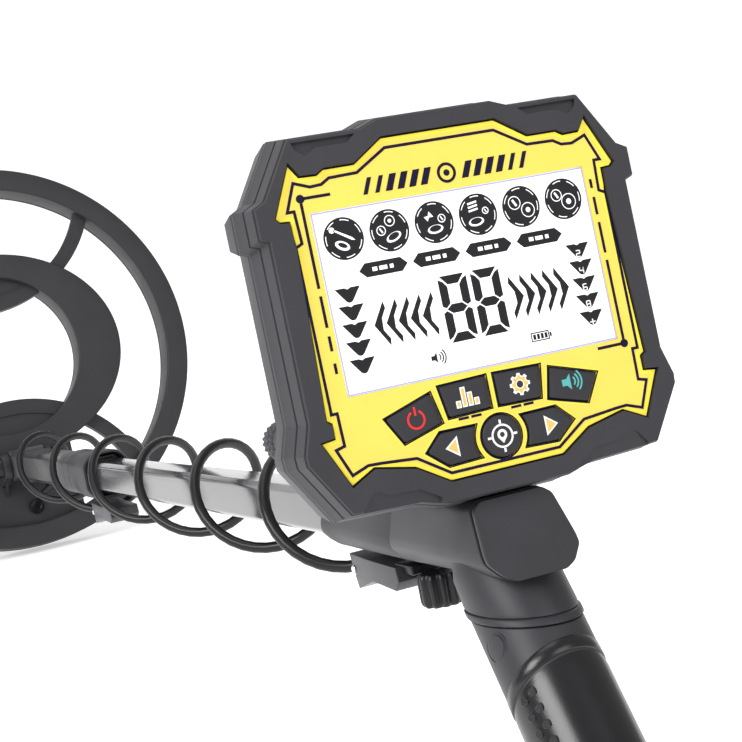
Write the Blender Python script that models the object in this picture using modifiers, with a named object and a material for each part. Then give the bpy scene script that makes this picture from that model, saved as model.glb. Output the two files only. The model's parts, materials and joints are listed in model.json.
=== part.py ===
"""A hand-held metal detector: control box, handle, telescoping stem, folding search coil and its wound cable.

Everything is placed in the stem's own frame: x runs forward along the stem to the coil, y to the user's left
and z away from the ground, with the origin on the stem's axis. The parent empty "detector" then pitches the
whole object nose-down, so that it rests on the coil's rim and on the foot under the armrest.
"""

import bpy
import bmesh
from math import atan2, cos, degrees, pi, radians, sin
from mathutils import Matrix, Vector

# ---- driving dimensions, in metres -------------------------------------------------------------------------
GAP = 0.0003                      # clearance between pieces that touch

TUBE = 0.0182                     # upper tube, flat to flat
TUBE_WALL = 0.0013
TUBE_CHAMFER = 0.0022
TUBE_START, TUBE_END = -0.148, 0.480
ROD = 0.0214                      # lower tube, flat to flat: the upper tube slides inside it
ROD_START, ROD_END = 0.3835, 0.628
COLLAR_START, COLLAR_END = 0.381, 0.471

PANEL = Vector((-0.1921, 0.0, 0.0777))   # centre of the display window
PANEL_LEAN = radians(2.41)        # the panel's top leans forward
BOX_DEPTH = 0.034
BEZEL_DEPTH = 0.014
BEZEL_RISE = 0.0012               # the bezel stands proud of the panel
SIDE_FLARE = 0.0028               # how far the case widens behind its front edge
PANEL_SKIN = 0.0008
WINDOW = (0.0900, 0.0538)
KEY_RISE, KEY_DEPTH = 0.0007, 0.0030
KEY_GAP = 0.0004
JACK = (-0.0520, -0.0370)         # left and right sockets on the case's back, in the panel's own plane
SOCKET = (0.0400, -0.0380)
BATTERY_V = 0.0200                # height of the battery compartment
SCREWS = [(-0.0440, 0.0400), (0.0440, 0.0400), (-0.0440, -0.0530), (0.0470, -0.0530)]

COIL_CENTRE = Vector((0.7134, 0.0, 0.0839))
COIL_ANGLE = radians(81.5)        # between the stem and the coil's plane
COIL_R, COIL_RIM = 0.1524, 0.0170
COIL_TOP, COIL_UNDER = 0.0110, -0.0150
WEB_TOP, WEB_UNDER = 0.0040, -0.0050
OVAL = (0.0819, 0.0981)           # half lengths of the inner ring, along and across the coil
OVAL_HOLE = 0.0632
ARCH_R, ARCH_AT, ARCH_BAND = 0.1033, 0.1392, 0.0115
WINDING_OUTER_R, WINDING_INNER_R, WINDING = 0.1439, 0.0725, 0.0048
GROOVE, GROOVE_TOP = 0.0110, 0.0085    # width of the channels that hold the windings, and their roof
PLATE_HALF = 0.0410
PIVOT = Vector((0.672, 0.0, 0.0))
PIVOT_IN_COIL = Matrix.Rotation(COIL_ANGLE, 3, "Y") @ (PIVOT - COIL_CENTRE)
GLAND = (-0.1225, -0.0035)        # where the cable enters the coil, from the coil's centre
EAR_Y, EAR_THICK, EAR_R = 0.0136, 0.0058, 0.0100

HANDLE_TOP = Vector((-0.1780, 0.0, -0.0127))
HANDLE_LEAN = radians(34.2)
HANDLE_R = 0.0160
NECK_END, RING_END, GRIP_START, GRIP_END = 0.0170, 0.0200, 0.0300, 0.1120
REAR_Z = -0.1250                  # height of the rear tube's axis
REAR_START, REAR_END = -0.2760, -0.5500
FOOT_X, FOOT_Z = -0.4650, -0.1570

CABLE_R = 0.0024
HELIX_R = 0.0228
HELIX_AT, HELIX_PITCH, HELIX_GROWTH = 0.5971, 0.1328, 0.00306
LOOPS_MEET = 1.70                 # turns from the coil end at which the cable passes the collar
LAST_TURN = 5.70

DETECTOR = bpy.data.collections.new("metal_detector")
CUTTERS = bpy.data.collections.new("cutters")


# ---- scene and helpers -------------------------------------------------------------------------------------
def clear_scene():
    for obj in list(bpy.data.objects):
        bpy.data.objects.remove(obj, do_unlink=True)
    for collection in (DETECTOR, CUTTERS):
        bpy.context.scene.collection.children.link(collection)


def finish(name, colour, roughness, metallic=0.0):
    material = bpy.data.materials.new(name)
    material.use_nodes = True
    shader = material.node_tree.nodes["Principled BSDF"]
    shader.inputs["Base Color"].default_value = (*colour, 1.0)
    shader.inputs["Roughness"].default_value = roughness
    shader.inputs["Metallic"].default_value = metallic
    return material


def empty(name, location=(0, 0, 0), rotation=None, parent=None):
    obj = bpy.data.objects.new(name, None)
    DETECTOR.objects.link(obj)
    obj.parent = parent
    obj.location = location
    if rotation is not None:
        obj.rotation_euler = rotation
    return obj


def adopt(obj, name, parent, location=(0, 0, 0), rotation=(0, 0, 0), colour=None):
    """Names an object, puts it in the detector's collection and gives it its own material."""
    obj.name = name
    for collection in list(obj.users_collection):
        collection.objects.unlink(obj)
    DETECTOR.objects.link(obj)
    obj.parent = parent
    obj.location = location
    obj.rotation_euler = rotation
    if colour is not None:
        obj.data.materials.clear()
        obj.data.materials.append(finish(name, *colour))
    return obj


def evaluated_mesh(obj):
    """A curve or modified object as a plain mesh object, its caps welded."""
    bpy.context.view_layer.update()
    depsgraph = bpy.context.evaluated_depsgraph_get()
    mesh = bpy.data.meshes.new_from_object(obj.evaluated_get(depsgraph))
    work = bmesh.new()
    work.from_mesh(mesh)
    bmesh.ops.remove_doubles(work, verts=work.verts, dist=0.000005)
    bmesh.ops.recalc_face_normals(work, faces=work.faces)
    work.to_mesh(mesh)
    work.free()
    solid = bpy.data.objects.new(obj.name + "_mesh", mesh)
    DETECTOR.objects.link(solid)
    solid.matrix_world = obj.matrix_world.copy()
    bpy.data.objects.remove(obj, do_unlink=True)
    return solid


def outline(loops, thick, at=0.0):
    """A flat outline, with any holes after it, extruded along z from `at` to `at + thick`."""
    data = bpy.data.curves.new("outline", "CURVE")
    data.dimensions = "2D"
    data.fill_mode = "BOTH"
    data.extrude = thick / 2
    for loop in loops:
        spline = data.splines.new("POLY")
        spline.points.add(len(loop) - 1)
        for point, (x, y) in zip(spline.points, loop):
            point.co = (x, y, 0.0, 1.0)
        spline.use_cyclic_u = True
    obj = bpy.data.objects.new("outline", data)
    DETECTOR.objects.link(obj)
    solid = evaluated_mesh(obj)
    solid.data.transform(Matrix.Translation((0, 0, at + thick / 2)))
    return solid


def block(size, centre=(0, 0, 0), bevel=0.0, segments=2):
    """A box whose edges may be rounded."""
    bpy.ops.mesh.primitive_cube_add(size=1.0)
    obj = bpy.context.object
    obj.data.transform(Matrix.Translation(centre) @ Matrix.Diagonal((*size, 1.0)))
    if bevel:
        round_edges(obj, bevel, segments)
    return obj


def rod(radius, length, centre=(0, 0, 0), axis="Z", sides=32):
    """A plain cylinder, its middle at `centre`."""
    bpy.ops.mesh.primitive_cylinder_add(radius=radius, depth=length, vertices=sides)
    obj = bpy.context.object
    turn = {"X": Matrix.Rotation(pi / 2, 4, "Y"), "Y": Matrix.Rotation(-pi / 2, 4, "X"), "Z": Matrix()}[axis]
    obj.data.transform(Matrix.Translation(centre) @ turn)
    smooth(obj)
    return obj


def turned(profile, steps=40, closed=False, turn=None):
    """A profile of (radius, height) points, from the top down its outer side, turned about z."""
    mesh = bpy.data.meshes.new("turned")
    edges = [(i, i + 1) for i in range(len(profile) - 1)]
    if closed:
        edges.append((len(profile) - 1, 0))
    mesh.from_pydata([(radius, 0.0, height) for radius, height in profile], edges, [])
    obj = bpy.data.objects.new("turned", mesh)
    DETECTOR.objects.link(obj)
    screw = obj.modifiers.new("screw", "SCREW")
    screw.axis = "Z"
    screw.steps = steps
    screw.render_steps = steps
    screw.use_merge_vertices = True
    screw.merge_threshold = 0.00001
    solid = evaluated_mesh(obj)
    if turn is not None:
        solid.data.transform(turn)
    smooth(solid)
    return solid


def swept(points, radius, kind="POLY", resolution=2):
    """A round bar along a route, with closed ends."""
    data = bpy.data.curves.new("swept", "CURVE")
    data.dimensions = "3D"
    data.bevel_depth = radius
    data.bevel_resolution = resolution
    data.use_fill_caps = True
    spline = data.splines.new(kind)
    spline.points.add(len(points) - 1)
    for point, place in zip(spline.points, points):
        point.co = (*place, 1.0)
    obj = bpy.data.objects.new("swept", data)
    DETECTOR.objects.link(obj)
    return obj


def round_edges(obj, width, segments=2, angle=40.0):
    bevel = obj.modifiers.new("bevel", "BEVEL")
    bevel.width = width
    bevel.segments = segments
    bevel.limit_method = "ANGLE"
    bevel.angle_limit = radians(angle)
    return obj


def smooth(obj, angle=35.0):
    obj.data.shade_smooth()
    obj.data.set_sharp_from_angle(angle=radians(angle))


def combine(obj, other, operation):
    """A Boolean with another object, which is kept hidden among the cutters."""
    for collection in list(other.users_collection):
        collection.objects.unlink(other)
    CUTTERS.objects.link(other)
    other.hide_render = True
    other.display_type = "WIRE"
    other.parent = obj
    boolean = obj.modifiers.new(operation.lower(), "BOOLEAN")
    boolean.operation = operation
    boolean.solver = "EXACT"
    boolean.object = other
    return obj


def cut(obj, *others):
    for other in others:
        combine(obj, other, "DIFFERENCE")
    return obj


def join(obj, *others):
    for other in others:
        combine(obj, other, "UNION")
    return obj


def octagon(width, chamfer, height=None):
    """A rectangle with its corners cut off, as (x, y) points."""
    a, b = width / 2, (height or width) / 2
    c = chamfer
    return [(a, b - c), (a - c, b), (c - a, b), (-a, b - c),
            (-a, c - b), (c - a, -b), (a - c, -b), (a, c - b)]


def circle(radius, count, centre=(0, 0), start=0.0, end=2 * pi):
    """Points round a circle, or along an arc of it with both its ends."""
    whole = abs(end - start - 2 * pi) < 1e-6
    steps = count if whole else count - 1
    turns = [start + (end - start) * i / steps for i in range(count)]
    return [(centre[0] + radius * cos(a), centre[1] + radius * sin(a)) for a in turns]


def mirrored(half):
    """A whole outline from its right half, listed from top to bottom."""
    left = [(-x, y) for x, y in reversed(half) if x > 0]
    return half + left


ALONG_STEM = (0, pi / 2, 0)       # an outline's z becomes x, its x becomes -z
SIDEWAYS = (pi / 2, 0, 0)         # an outline's y becomes z, its z becomes -y


def bar(name, parent, section, holes, start, end, colour):
    """A straight bar along the stem, of one section given as (z, y) loops."""
    solid = outline([section, *holes], end - start, start)
    return adopt(solid, name, parent, rotation=ALONG_STEM, colour=colour)


# ---- finishes: colour, roughness, metallic -----------------------------------------------------------------
CHARCOAL = ((0.050, 0.049, 0.057), 0.45)
BLACK = ((0.012, 0.012, 0.014), 0.40)
RUBBER = ((0.020, 0.020, 0.022), 0.75)
TUBE_GREY = ((0.28, 0.28, 0.31), 0.18, 0.9)
STEEL = ((0.62, 0.62, 0.62), 0.30, 1.0)
YELLOW = ((0.97, 0.72, 0.14), 0.42)
KEY_BLACK = ((0.030, 0.029, 0.032), 0.50)
GREEN = ((0.03, 0.22, 0.08), 0.50)
COPPER = ((0.72, 0.32, 0.14), 0.35, 1.0)
SCREEN = ((0.92, 0.93, 0.95), 0.15)
FOAM = ((0.030, 0.030, 0.033), 0.90)
BLUE = ((0.05, 0.16, 0.45), 0.45)


# ---- control box -------------------------------------------------------------------------------------------
def case_outline(grow=0.0, scale=1.0):
    """The case's stepped outline, symmetric, scaled and then grown outwards by `grow`."""
    half = [(0.0187, 0.0507), (0.0245, 0.0486), (0.0477, 0.0486), (0.0578, 0.0322), (0.0613, 0.0304),
            (0.0613, 0.0222), (0.0585, 0.0212), (0.0585, -0.0325), (0.0612, -0.0412), (0.0610, -0.0440),
            (0.0510, -0.0600), (0.0290, -0.0608), (0.0195, -0.0633)]
    return grown([(x * scale, y * scale) for x, y in mirrored(half)], grow)


def panel_outline(grow=0.0):
    """The yellow panel's spiked outline, symmetric."""
    half = [(0.0186, 0.0450), (0.0286, 0.0390), (0.0374, 0.0395), (0.0406, 0.0382), (0.0490, 0.0407),
            (0.0556, 0.0267), (0.0520, 0.0264), (0.0520, 0.0200), (0.0508, 0.0186), (0.0530, -0.0325),
            (0.0515, -0.0335), (0.0515, -0.0383), (0.0558, -0.0388), (0.0494, -0.0522), (0.0418, -0.0484),
            (0.0289, -0.0511), (0.0188, -0.0573)]
    return grown(mirrored(half), grow)


def grown(loop, distance):
    """A clockwise outline with every side moved outwards."""
    if not distance:
        return loop
    count = len(loop)
    moved = []
    for i in range(count):
        before = Vector(loop[i]) - Vector(loop[i - 1])
        after = Vector(loop[(i + 1) % count]) - Vector(loop[i])
        first = Vector((-before.y, before.x)).normalized()
        second = Vector((-after.y, after.x)).normalized()
        bisector = (first + second).normalized()
        reach = distance / max(bisector.dot(first), 0.5)
        moved.append(tuple(Vector(loop[i]) + bisector * reach))
    return moved


def lofted(sections):
    """A closed solid through outlines of equal count, each given with its height."""
    work = bmesh.new()
    rings = [[work.verts.new((x, y, height)) for x, y in loop] for loop, height in sections]
    for lower, upper in zip(rings, rings[1:]):
        for i in range(len(lower)):
            j = (i + 1) % len(lower)
            work.faces.new((lower[i], lower[j], upper[j], upper[i]))
    work.faces.new(rings[0])
    work.faces.new(rings[-1])
    bmesh.ops.recalc_face_normals(work, faces=work.faces)
    mesh = bpy.data.meshes.new("lofted")
    work.to_mesh(mesh)
    work.free()
    obj = bpy.data.objects.new("lofted", mesh)
    DETECTOR.objects.link(obj)
    return obj


def key_shapes():
    """Each key's outline round its own centre, with the centre."""
    power = [(-0.0087, 0.0013), (0.0064, 0.0059), (0.0084, -0.0030), (-0.0042, -0.0065)]
    bars = [(-0.0077, 0.0042), (0.0076, 0.0046), (0.0076, -0.0047), (-0.0062, -0.0051)]
    bite = circle(0.0092, 9, (0.0157, 0), radians(150), radians(210))
    arrow = [(-0.0086, 0.0), (-0.0036, 0.0048), *bite, (-0.0026, -0.0050)]
    return {
        "key_power": (power, (-0.0265, -0.0371)),
        "key_sensitivity": (bars, (-0.0091, -0.0341)),
        "key_mode": (flipped(bars), (0.0091, -0.0341)),
        "key_volume": (flipped(power), (0.0265, -0.0371)),
        "key_left": (arrow, (-0.0157, -0.0480)),
        "key_pinpoint": (circle(0.0063, 28), (0.0, -0.0480)),
        "key_right": (flipped(arrow), (0.0157, -0.0480)),
    }


def flipped(loop):
    return [(-x, y) for x, y in loop]


def anticlockwise(loop):
    area = sum(a[0] * b[1] - b[0] * a[1] for a, b in zip(loop, loop[1:] + loop[:1]))
    return loop if area > 0 else list(reversed(loop))


def clockwise(loop):
    return list(reversed(anticlockwise(loop)))


def shifted(loop, offset):
    return [(x + offset[0], y + offset[1]) for x, y in loop]


def rectangle(width, height, centre=(0, 0)):
    a, b = width / 2, height / 2
    return [(centre[0] + x, centre[1] + y) for x, y in ((a, b), (-a, b), (-a, -b), (a, -b))]


def control_box(root):
    panel = empty("panel_frame", PANEL, parent=root)
    panel.matrix_local = Matrix.Translation(PANEL) @ Matrix((
        (0.0, sin(PANEL_LEAN), -cos(PANEL_LEAN), 0.0),
        (-1.0, 0.0, 0.0, 0.0),
        (0.0, cos(PANEL_LEAN), sin(PANEL_LEAN), 0.0),
        (0.0, 0.0, 0.0, 1.0)))

    bezel = lofted([(case_outline(SIDE_FLARE), -BEZEL_DEPTH), (case_outline(0.0006), BEZEL_RISE - 0.0008),
                    (case_outline(), BEZEL_RISE)])
    cut(bezel, outline([panel_outline(GAP)], 0.0040, -0.0022),
        outline([mirrored([(0.0490, 0.0350), (0.0490, -0.0460), (0.0400, -0.0470), (0.0284, -0.0504),
                           (0.0182, -0.0566)])], 0.0300, -0.0200))
    adopt(bezel, "bezel", panel, colour=CHARCOAL)

    shell = lofted([(case_outline(scale=0.93), -BOX_DEPTH), (case_outline(scale=1.02), -BOX_DEPTH + 0.0060),
                    (case_outline(SIDE_FLARE), -BEZEL_DEPTH - GAP)])
    hollow = lofted([(case_outline(scale=0.89), -BOX_DEPTH + 0.0025),
                     (case_outline(scale=0.965), -BOX_DEPTH + 0.0070),
                     (case_outline(scale=0.985), -BEZEL_DEPTH + 0.0010)])
    cut(shell, hollow)
    jack_boss = rod(0.0058, 0.0090, (JACK[0], JACK[1], -BOX_DEPTH - 0.0015))
    join(shell, jack_boss)
    socket_boss = rod(0.0062, 0.0100, (SOCKET[0], SOCKET[1], -BOX_DEPTH - 0.0020))
    join(shell, socket_boss)
    for place in SCREWS:
        cut(shell, rod(0.0031, 0.0040, (*place, -BOX_DEPTH), sides=20))
    cut(shell, block((0.0484, 0.0344, 0.0060), (0, BATTERY_V, -BOX_DEPTH)))
    adopt(shell, "back_shell", panel, colour=CHARCOAL)

    keys = key_shapes()
    holes = [clockwise(shifted(grown(clockwise(loop), KEY_GAP), centre)) for loop, centre in keys.values()]
    window = clockwise(rectangle(WINDOW[0] + 2 * GAP, WINDOW[1] + 2 * GAP))
    skin = outline([anticlockwise(panel_outline()), window, *holes], PANEL_SKIN, -PANEL_SKIN)
    adopt(skin, "panel_overlay", panel, colour=YELLOW)

    lens = outline([rectangle(*WINDOW)], PANEL_SKIN, -PANEL_SKIN)
    adopt(lens, "lcd_window", panel, colour=SCREEN)
    module = block((0.0940, 0.0560, 0.0040), (0, 0.0005, -0.0046), 0.0004, 1)
    adopt(module, "lcd_module", panel, colour=SCREEN)
    adopt(block((0.0900, 0.0740, 0.0016), (0, -0.0075, -0.0105)), "circuit_board", panel, colour=GREEN)
    mat = mirrored([(0.0370, -0.0285), (0.0370, -0.0462), (0.0270, -0.0500), (0.0175, -0.0555)])
    adopt(outline([anticlockwise(mat)], 0.0018, -0.0062), "keypad_mat", panel, colour=RUBBER)
    cone = [(0.0, 0.0030), (0.0125, 0.0030), (0.0140, 0.0020), (0.0140, -0.0020), (0.0080, -0.0030),
            (0.0, -0.0030)]
    adopt(turned(cone, 28), "speaker", panel, (0.0370, 0.0050, -0.0280), colour=BLACK)

    for name, (loop, centre) in keys.items():
        cap = outline([anticlockwise(loop)], KEY_DEPTH + KEY_RISE, -KEY_DEPTH)
        adopt(cap, name, panel, (*centre, 0.0), colour=KEY_BLACK)

    adopt(block((0.0440, 0.0160, 0.0110), (-0.0020, BATTERY_V - 0.0030, -0.0215), 0.0010, 1), "battery", panel,
          colour=BLUE)
    door = block((0.0480, 0.0340, 0.0020), (0, 0, 0), 0.0004, 1)
    join(door, block((0.0180, 0.0016, 0.0016), (0, 0.0120, -0.0012)),
         block((0.0180, 0.0016, 0.0016), (0, 0.0085, -0.0012)))
    adopt(door, "battery_door", panel, (0, BATTERY_V, -BOX_DEPTH + 0.0015), colour=CHARCOAL)

    for index, place in enumerate(SCREWS, 1):
        screw = rod(0.0028, 0.0014, sides=20)
        for slot in ((0.0034, 0.0007, 0.0010), (0.0007, 0.0034, 0.0010)):
            cut(screw, block(slot, (0, 0, -0.0006)))
        adopt(screw, f"case_screw_{index}", panel, (*place, -BOX_DEPTH + 0.0010), colour=STEEL)

    grip = [(0.0, 0.0), (0.0060, 0.0), (0.0063, -0.0020), (0.0057, -0.0028), (0.0065, -0.0036), (0.0065, -0.0060),
            (0.0057, -0.0068), (0.0064, -0.0076), (0.0062, -0.0100), (0.0050, -0.0118), (0.0, -0.0125)]
    adopt(turned(grip, 32), "jack_cap", panel, (JACK[0], JACK[1], -BOX_DEPTH - 0.0063), colour=CHARCOAL)
    nut = [(0.0072, 0.0), (0.0074, -0.0060), (0.0068, -0.0072), (0.0058, -0.0082), (0.0052, -0.0180),
           (0.0044, -0.0200), (0.0030, -0.0200), (0.0030, 0.0)]
    adopt(turned(nut, 28, closed=True), "cable_nut", panel, (SOCKET[0], SOCKET[1], -BOX_DEPTH - 0.0073),
          colour=BLACK)

    bracket = block((0.0200, 0.0180, 0.0034), (-0.1472, 0, 0.0131))
    join(bracket, block((0.0034, 0.0300, 0.0320), (-0.1573, 0, 0.0284)))
    adopt(bracket, "box_bracket", root, colour=CHARCOAL)


# ---- housing and handle ------------------------------------------------------------------------------------
def housing_section(scale=1.0, top=0.0110):
    """The housing's six-sided section, as (z, y) points with its sharp corners cut."""
    half = [(top, 0.0090), (top - 0.0022, 0.0122), (-0.0030, 0.0157), (-0.0060, 0.0157),
            (-0.0105, 0.0120), (-0.0122, 0.0085)]
    loop = half + [(z, -y) for z, y in reversed(half)]
    return [(z * scale, y * scale) for z, y in loop]


def housing_solid(grow, front, back, slant):
    """The housing's body between two stations; its back face leans with `slant`."""
    nose = [(-z, y) for z, y in housing_section(0.86 + grow, 0.0110)]
    mouth = [(-z, y) for z, y in housing_section(0.95 + grow, 0.0105)]
    body = [(-z, y) for z, y in housing_section(1.0 + grow)]
    solid = lofted([(body, back), (body, back + 0.060), (mouth, front - 0.010), (nose, front)])
    for vertex in solid.data.vertices:
        if vertex.co.z < back + 0.001:
            vertex.co.z += -vertex.co.x * slant
    return solid


def handle_frame(root):
    return empty("handle_frame", HANDLE_TOP, (0, HANDLE_LEAN, 0), root)


def down_handle(distance):
    """A point on the handle's axis, in the stem's frame."""
    return HANDLE_TOP + Vector((-sin(HANDLE_LEAN), 0, -cos(HANDLE_LEAN))) * distance


def handle(root):
    slant = 0.516
    back = -0.1955
    housing = housing_solid(0.0, -0.0500, back, slant)
    pocket = housing_solid(-0.18, -0.1530, back, slant)
    for vertex in pocket.data.vertices:
        if vertex.co.z < back + 0.02:
            vertex.co.z -= 0.004
    neck_turn = Matrix.Rotation(-pi / 2, 4, "Y")
    lean = neck_turn @ Matrix.Translation(HANDLE_TOP) @ Matrix.Rotation(HANDLE_LEAN, 4, "Y")
    neck = rod(HANDLE_R, NECK_END + 0.004, (0, 0, -(NECK_END - 0.004) / 2), sides=40)
    neck.data.transform(lean)
    cut(join(housing, neck), pocket)
    bore = outline([octagon(TUBE + 2 * GAP, TUBE_CHAMFER)], 0.110, -0.151)
    cut(housing, bore)
    adopt(housing, "housing", root, rotation=ALONG_STEM, colour=CHARCOAL)

    lid = [(-z, y) for z, y in housing_section(0.985)]
    cap = lofted([(lid, -0.0020), (lid, 0.0)])
    for vertex in cap.data.vertices:
        vertex.co.z += back - GAP - vertex.co.x * slant
    adopt(cap, "housing_end_cap", root, rotation=ALONG_STEM, colour=CHARCOAL)

    hilt = handle_frame(root)
    ring = [(HANDLE_R + 0.0006, -NECK_END - GAP), (HANDLE_R + 0.0006, -RING_END), (0.0100, -RING_END),
            (0.0100, -NECK_END - GAP)]
    adopt(turned(ring, 40, closed=True), "neck_ring", hilt, colour=BLACK)
    core = [(0.0, -RING_END - GAP), (HANDLE_R, -RING_END - GAP), (HANDLE_R, -GRIP_START + GAP),
            (0.0125, -GRIP_START + GAP), (0.0125, -GRIP_END), (0.0, -GRIP_END)]
    core = cut(turned(core, 40), rod(0.0048, 0.0030, (0, HANDLE_R, -0.0250), "Y", 24))
    adopt(core, "handle_core", hilt, colour=CHARCOAL)
    adopt(rod(0.0044, 0.0020, sides=24), "neck_plug", hilt, (0, HANDLE_R - 0.0004, -0.0250),
          (pi / 2, 0, 0), colour=BLACK)
    top, low = -GRIP_START, -GRIP_END
    sleeve = [(0.0162, top), (0.0165, top - 0.003), (0.0158, top - 0.021), (0.0168, top - 0.024),
              (0.0158, top - 0.040), (0.0168, top - 0.052), (0.0160, low + 0.012), (0.0170, low + 0.002),
              (0.0165, low), (0.0128, low), (0.0128, top)]
    adopt(turned(sleeve, 40, closed=True), "grip_sleeve", hilt, colour=RUBBER)

    start, bend = down_handle(GRIP_END + 0.0003), down_handle(GRIP_END + 0.006)
    route = [start, bend, bend + Vector((-0.0040, 0, -0.0045)), Vector((bend.x - 0.012, 0, REAR_Z + 0.0012)),
             Vector((bend.x - 0.022, 0, REAR_Z)), Vector((-0.3050, 0, REAR_Z))]
    elbow = evaluated_mesh(swept(route, 0.0152, resolution=6))
    cut(elbow, block((0.0400, TUBE + 2 * GAP, TUBE + 2 * GAP), (REAR_START - 0.020, 0, REAR_Z)))
    adopt(elbow, "rear_elbow", root, colour=CHARCOAL)


# ---- rear tube and armrest ---------------------------------------------------------------------------------
def armrest(root):
    section = octagon(TUBE, TUBE_CHAMFER)
    hole = clockwise(octagon(TUBE - 2 * TUBE_WALL, TUBE_CHAMFER * 0.7))
    tube = bar("rear_tube", root, anticlockwise(section), [hole], REAR_END, REAR_START - GAP, TUBE_GREY)
    tube.location = (0, 0, REAR_Z)
    plug = outline([octagon(TUBE, TUBE_CHAMFER)], 0.003, REAR_END - 0.0033)
    join(plug, outline([octagon(TUBE - 2 * TUBE_WALL - 2 * GAP, 0.0015)], 0.012, REAR_END - 0.001))
    adopt(plug, "rear_plug", root, (0, 0, REAR_Z), ALONG_STEM, BLACK)

    slide = empty("armrest_frame", (FOOT_X, 0, REAR_Z), parent=root)
    saddle = block((0.0560, 0.0300, 0.0290), (0, 0, 0), 0.0025)
    cut(saddle, block((0.0700, TUBE + 2 * GAP, TUBE + 2 * GAP)), rod(0.0026, 0.050, (0, 0, -0.0122), "Y", 20))
    adopt(saddle, "armrest_saddle", slide, colour=CHARCOAL)

    radius, thick = 0.0480, 0.0032
    arc = circle(radius + thick, 25, start=radians(-192), end=radians(12))
    inner = circle(radius, 25, start=radians(-192), end=radians(12))
    cup = outline([anticlockwise(arc + inner[::-1])], 0.0900, -0.0450)
    cup.data.transform(Matrix.Rotation(pi / 2, 4, "X"))
    cup.data.transform(Matrix.Rotation(pi / 2, 4, "Z"))
    centre = 0.0145 + GAP + thick + radius
    adopt(round_edges(cup, 0.0012, 2, 60), "armrest_cup", slide, (0, 0, centre), colour=CHARCOAL)
    soft = 0.0040
    arc = circle(radius - GAP, 21, start=radians(-175), end=radians(-5))
    inner = circle(radius - GAP - soft, 21, start=radians(-175), end=radians(-5))
    pad = outline([anticlockwise(arc + inner[::-1])], 0.0840, -0.0420)
    pad.data.transform(Matrix.Rotation(pi / 2, 4, "X"))
    pad.data.transform(Matrix.Rotation(pi / 2, 4, "Z"))
    adopt(pad, "armrest_pad", slide, (0, 0, centre), colour=FOAM)

    pitch = stem_pitch()
    foot = block((0.0300, 0.0280, 0.0130), (0, 0, -0.0215), 0.0020)
    base = block((0.0300, 0.1000, 0.0060), (0, 0, 0), 0.0020)
    base.data.transform(Matrix.Translation((0, 0, FOOT_Z - REAR_Z + 0.0048)) @ Matrix.Rotation(-pitch, 4, "Y"))
    join(foot, base)
    adopt(foot, "armrest_foot", slide, colour=CHARCOAL)
    for name, side in (("foot_pad_left", 1), ("foot_pad_right", -1)):
        pad = block((0.0240, 0.0180, 0.0018), (0, 0, 0), 0.0005, 1)
        pad.data.transform(Matrix.Translation((0, 0, FOOT_Z - REAR_Z + 0.0008))
                           @ Matrix.Rotation(-pitch, 4, "Y"))
        adopt(pad, name, slide, (0, side * 0.0400, 0), colour=RUBBER)

    bolt = join(rod(0.0023, 0.0440, (0, -0.0040, 0), "Y", 20), rod(0.0046, 0.0030, (0, 0.0172, 0), "Y", 6))
    adopt(bolt, "armrest_bolt", slide, (0, 0, -0.0122), colour=STEEL)
    wing = rod(0.0072, 0.0090, (0, 0, 0), "Y", 24)
    for turn in range(3):
        spoke = block((0.0030, 0.0084, 0.0184))
        spoke.data.transform(Matrix.Rotation(turn * pi / 3, 4, "Y"))
        join(wing, spoke)
    cut(wing, rod(0.0026, 0.0200, (0, 0, 0), "Y", 20))
    adopt(wing, "armrest_knob", slide, (0, -0.0200, -0.0122), colour=BLACK)


# ---- stem --------------------------------------------------------------------------------------------------
def lever_profile(reach):
    """A cam lever's winged side, pin end at the origin, tail running back towards the user."""
    return [(0.0020, 0.0060), (-0.0020, -0.0090), (-0.0170 * reach, -0.0030), (-0.0390 * reach, -0.0045),
            (-0.0430 * reach, -0.0010), (-0.0420 * reach, 0.0040), (-0.0180 * reach, 0.0048)]


def cam_lever(name, pin_name, root, place, reach, half_widths):
    """A lever folded up under the stem on a cross pin, and that pin."""
    hinge = empty(name + "_frame", place, parent=root)
    left, right = half_widths
    lever = outline([anticlockwise(lever_profile(reach))], left + right, -left)
    lever.data.transform(Matrix.Rotation(pi / 2, 4, "X"))
    cut(lever, rod(0.0019, 0.060, (0, 0, 0), "Y", 20))
    adopt(round_edges(lever, 0.0006, 1, 30), name, hinge, colour=CHARCOAL)
    pin = rod(0.0016, left + right + 0.0012, (0, (left - right) / 2, 0), "Y", 20)
    adopt(pin, pin_name, hinge, colour=STEEL)


def stem(root):
    section = anticlockwise(octagon(TUBE, TUBE_CHAMFER))
    hole = clockwise(octagon(TUBE - 2 * TUBE_WALL, TUBE_CHAMFER * 0.7))
    bar("upper_tube", root, section, [hole], TUBE_START, TUBE_END, TUBE_GREY)

    cam_lever("clamp_lever", "clamp_pin", root, (-0.0705, 0, -0.0190), 1.0, (0.0110, 0.0090))
    knob = turned([(0.0, 0.0), (0.0068, 0.0), (0.0068, -0.0100), (0.0056, -0.0112), (0.0, -0.0112)], 36)
    for turn in range(9):
        angle = turn * 2 * pi / 9
        cut(knob, rod(0.0010, 0.0300, (0.0072 * cos(angle), 0.0072 * sin(angle), 0), sides=10))
    adopt(knob, "clamp_knob", root, (-0.1290, 0.0020, -0.0168), colour=BLACK)
    return root


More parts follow.
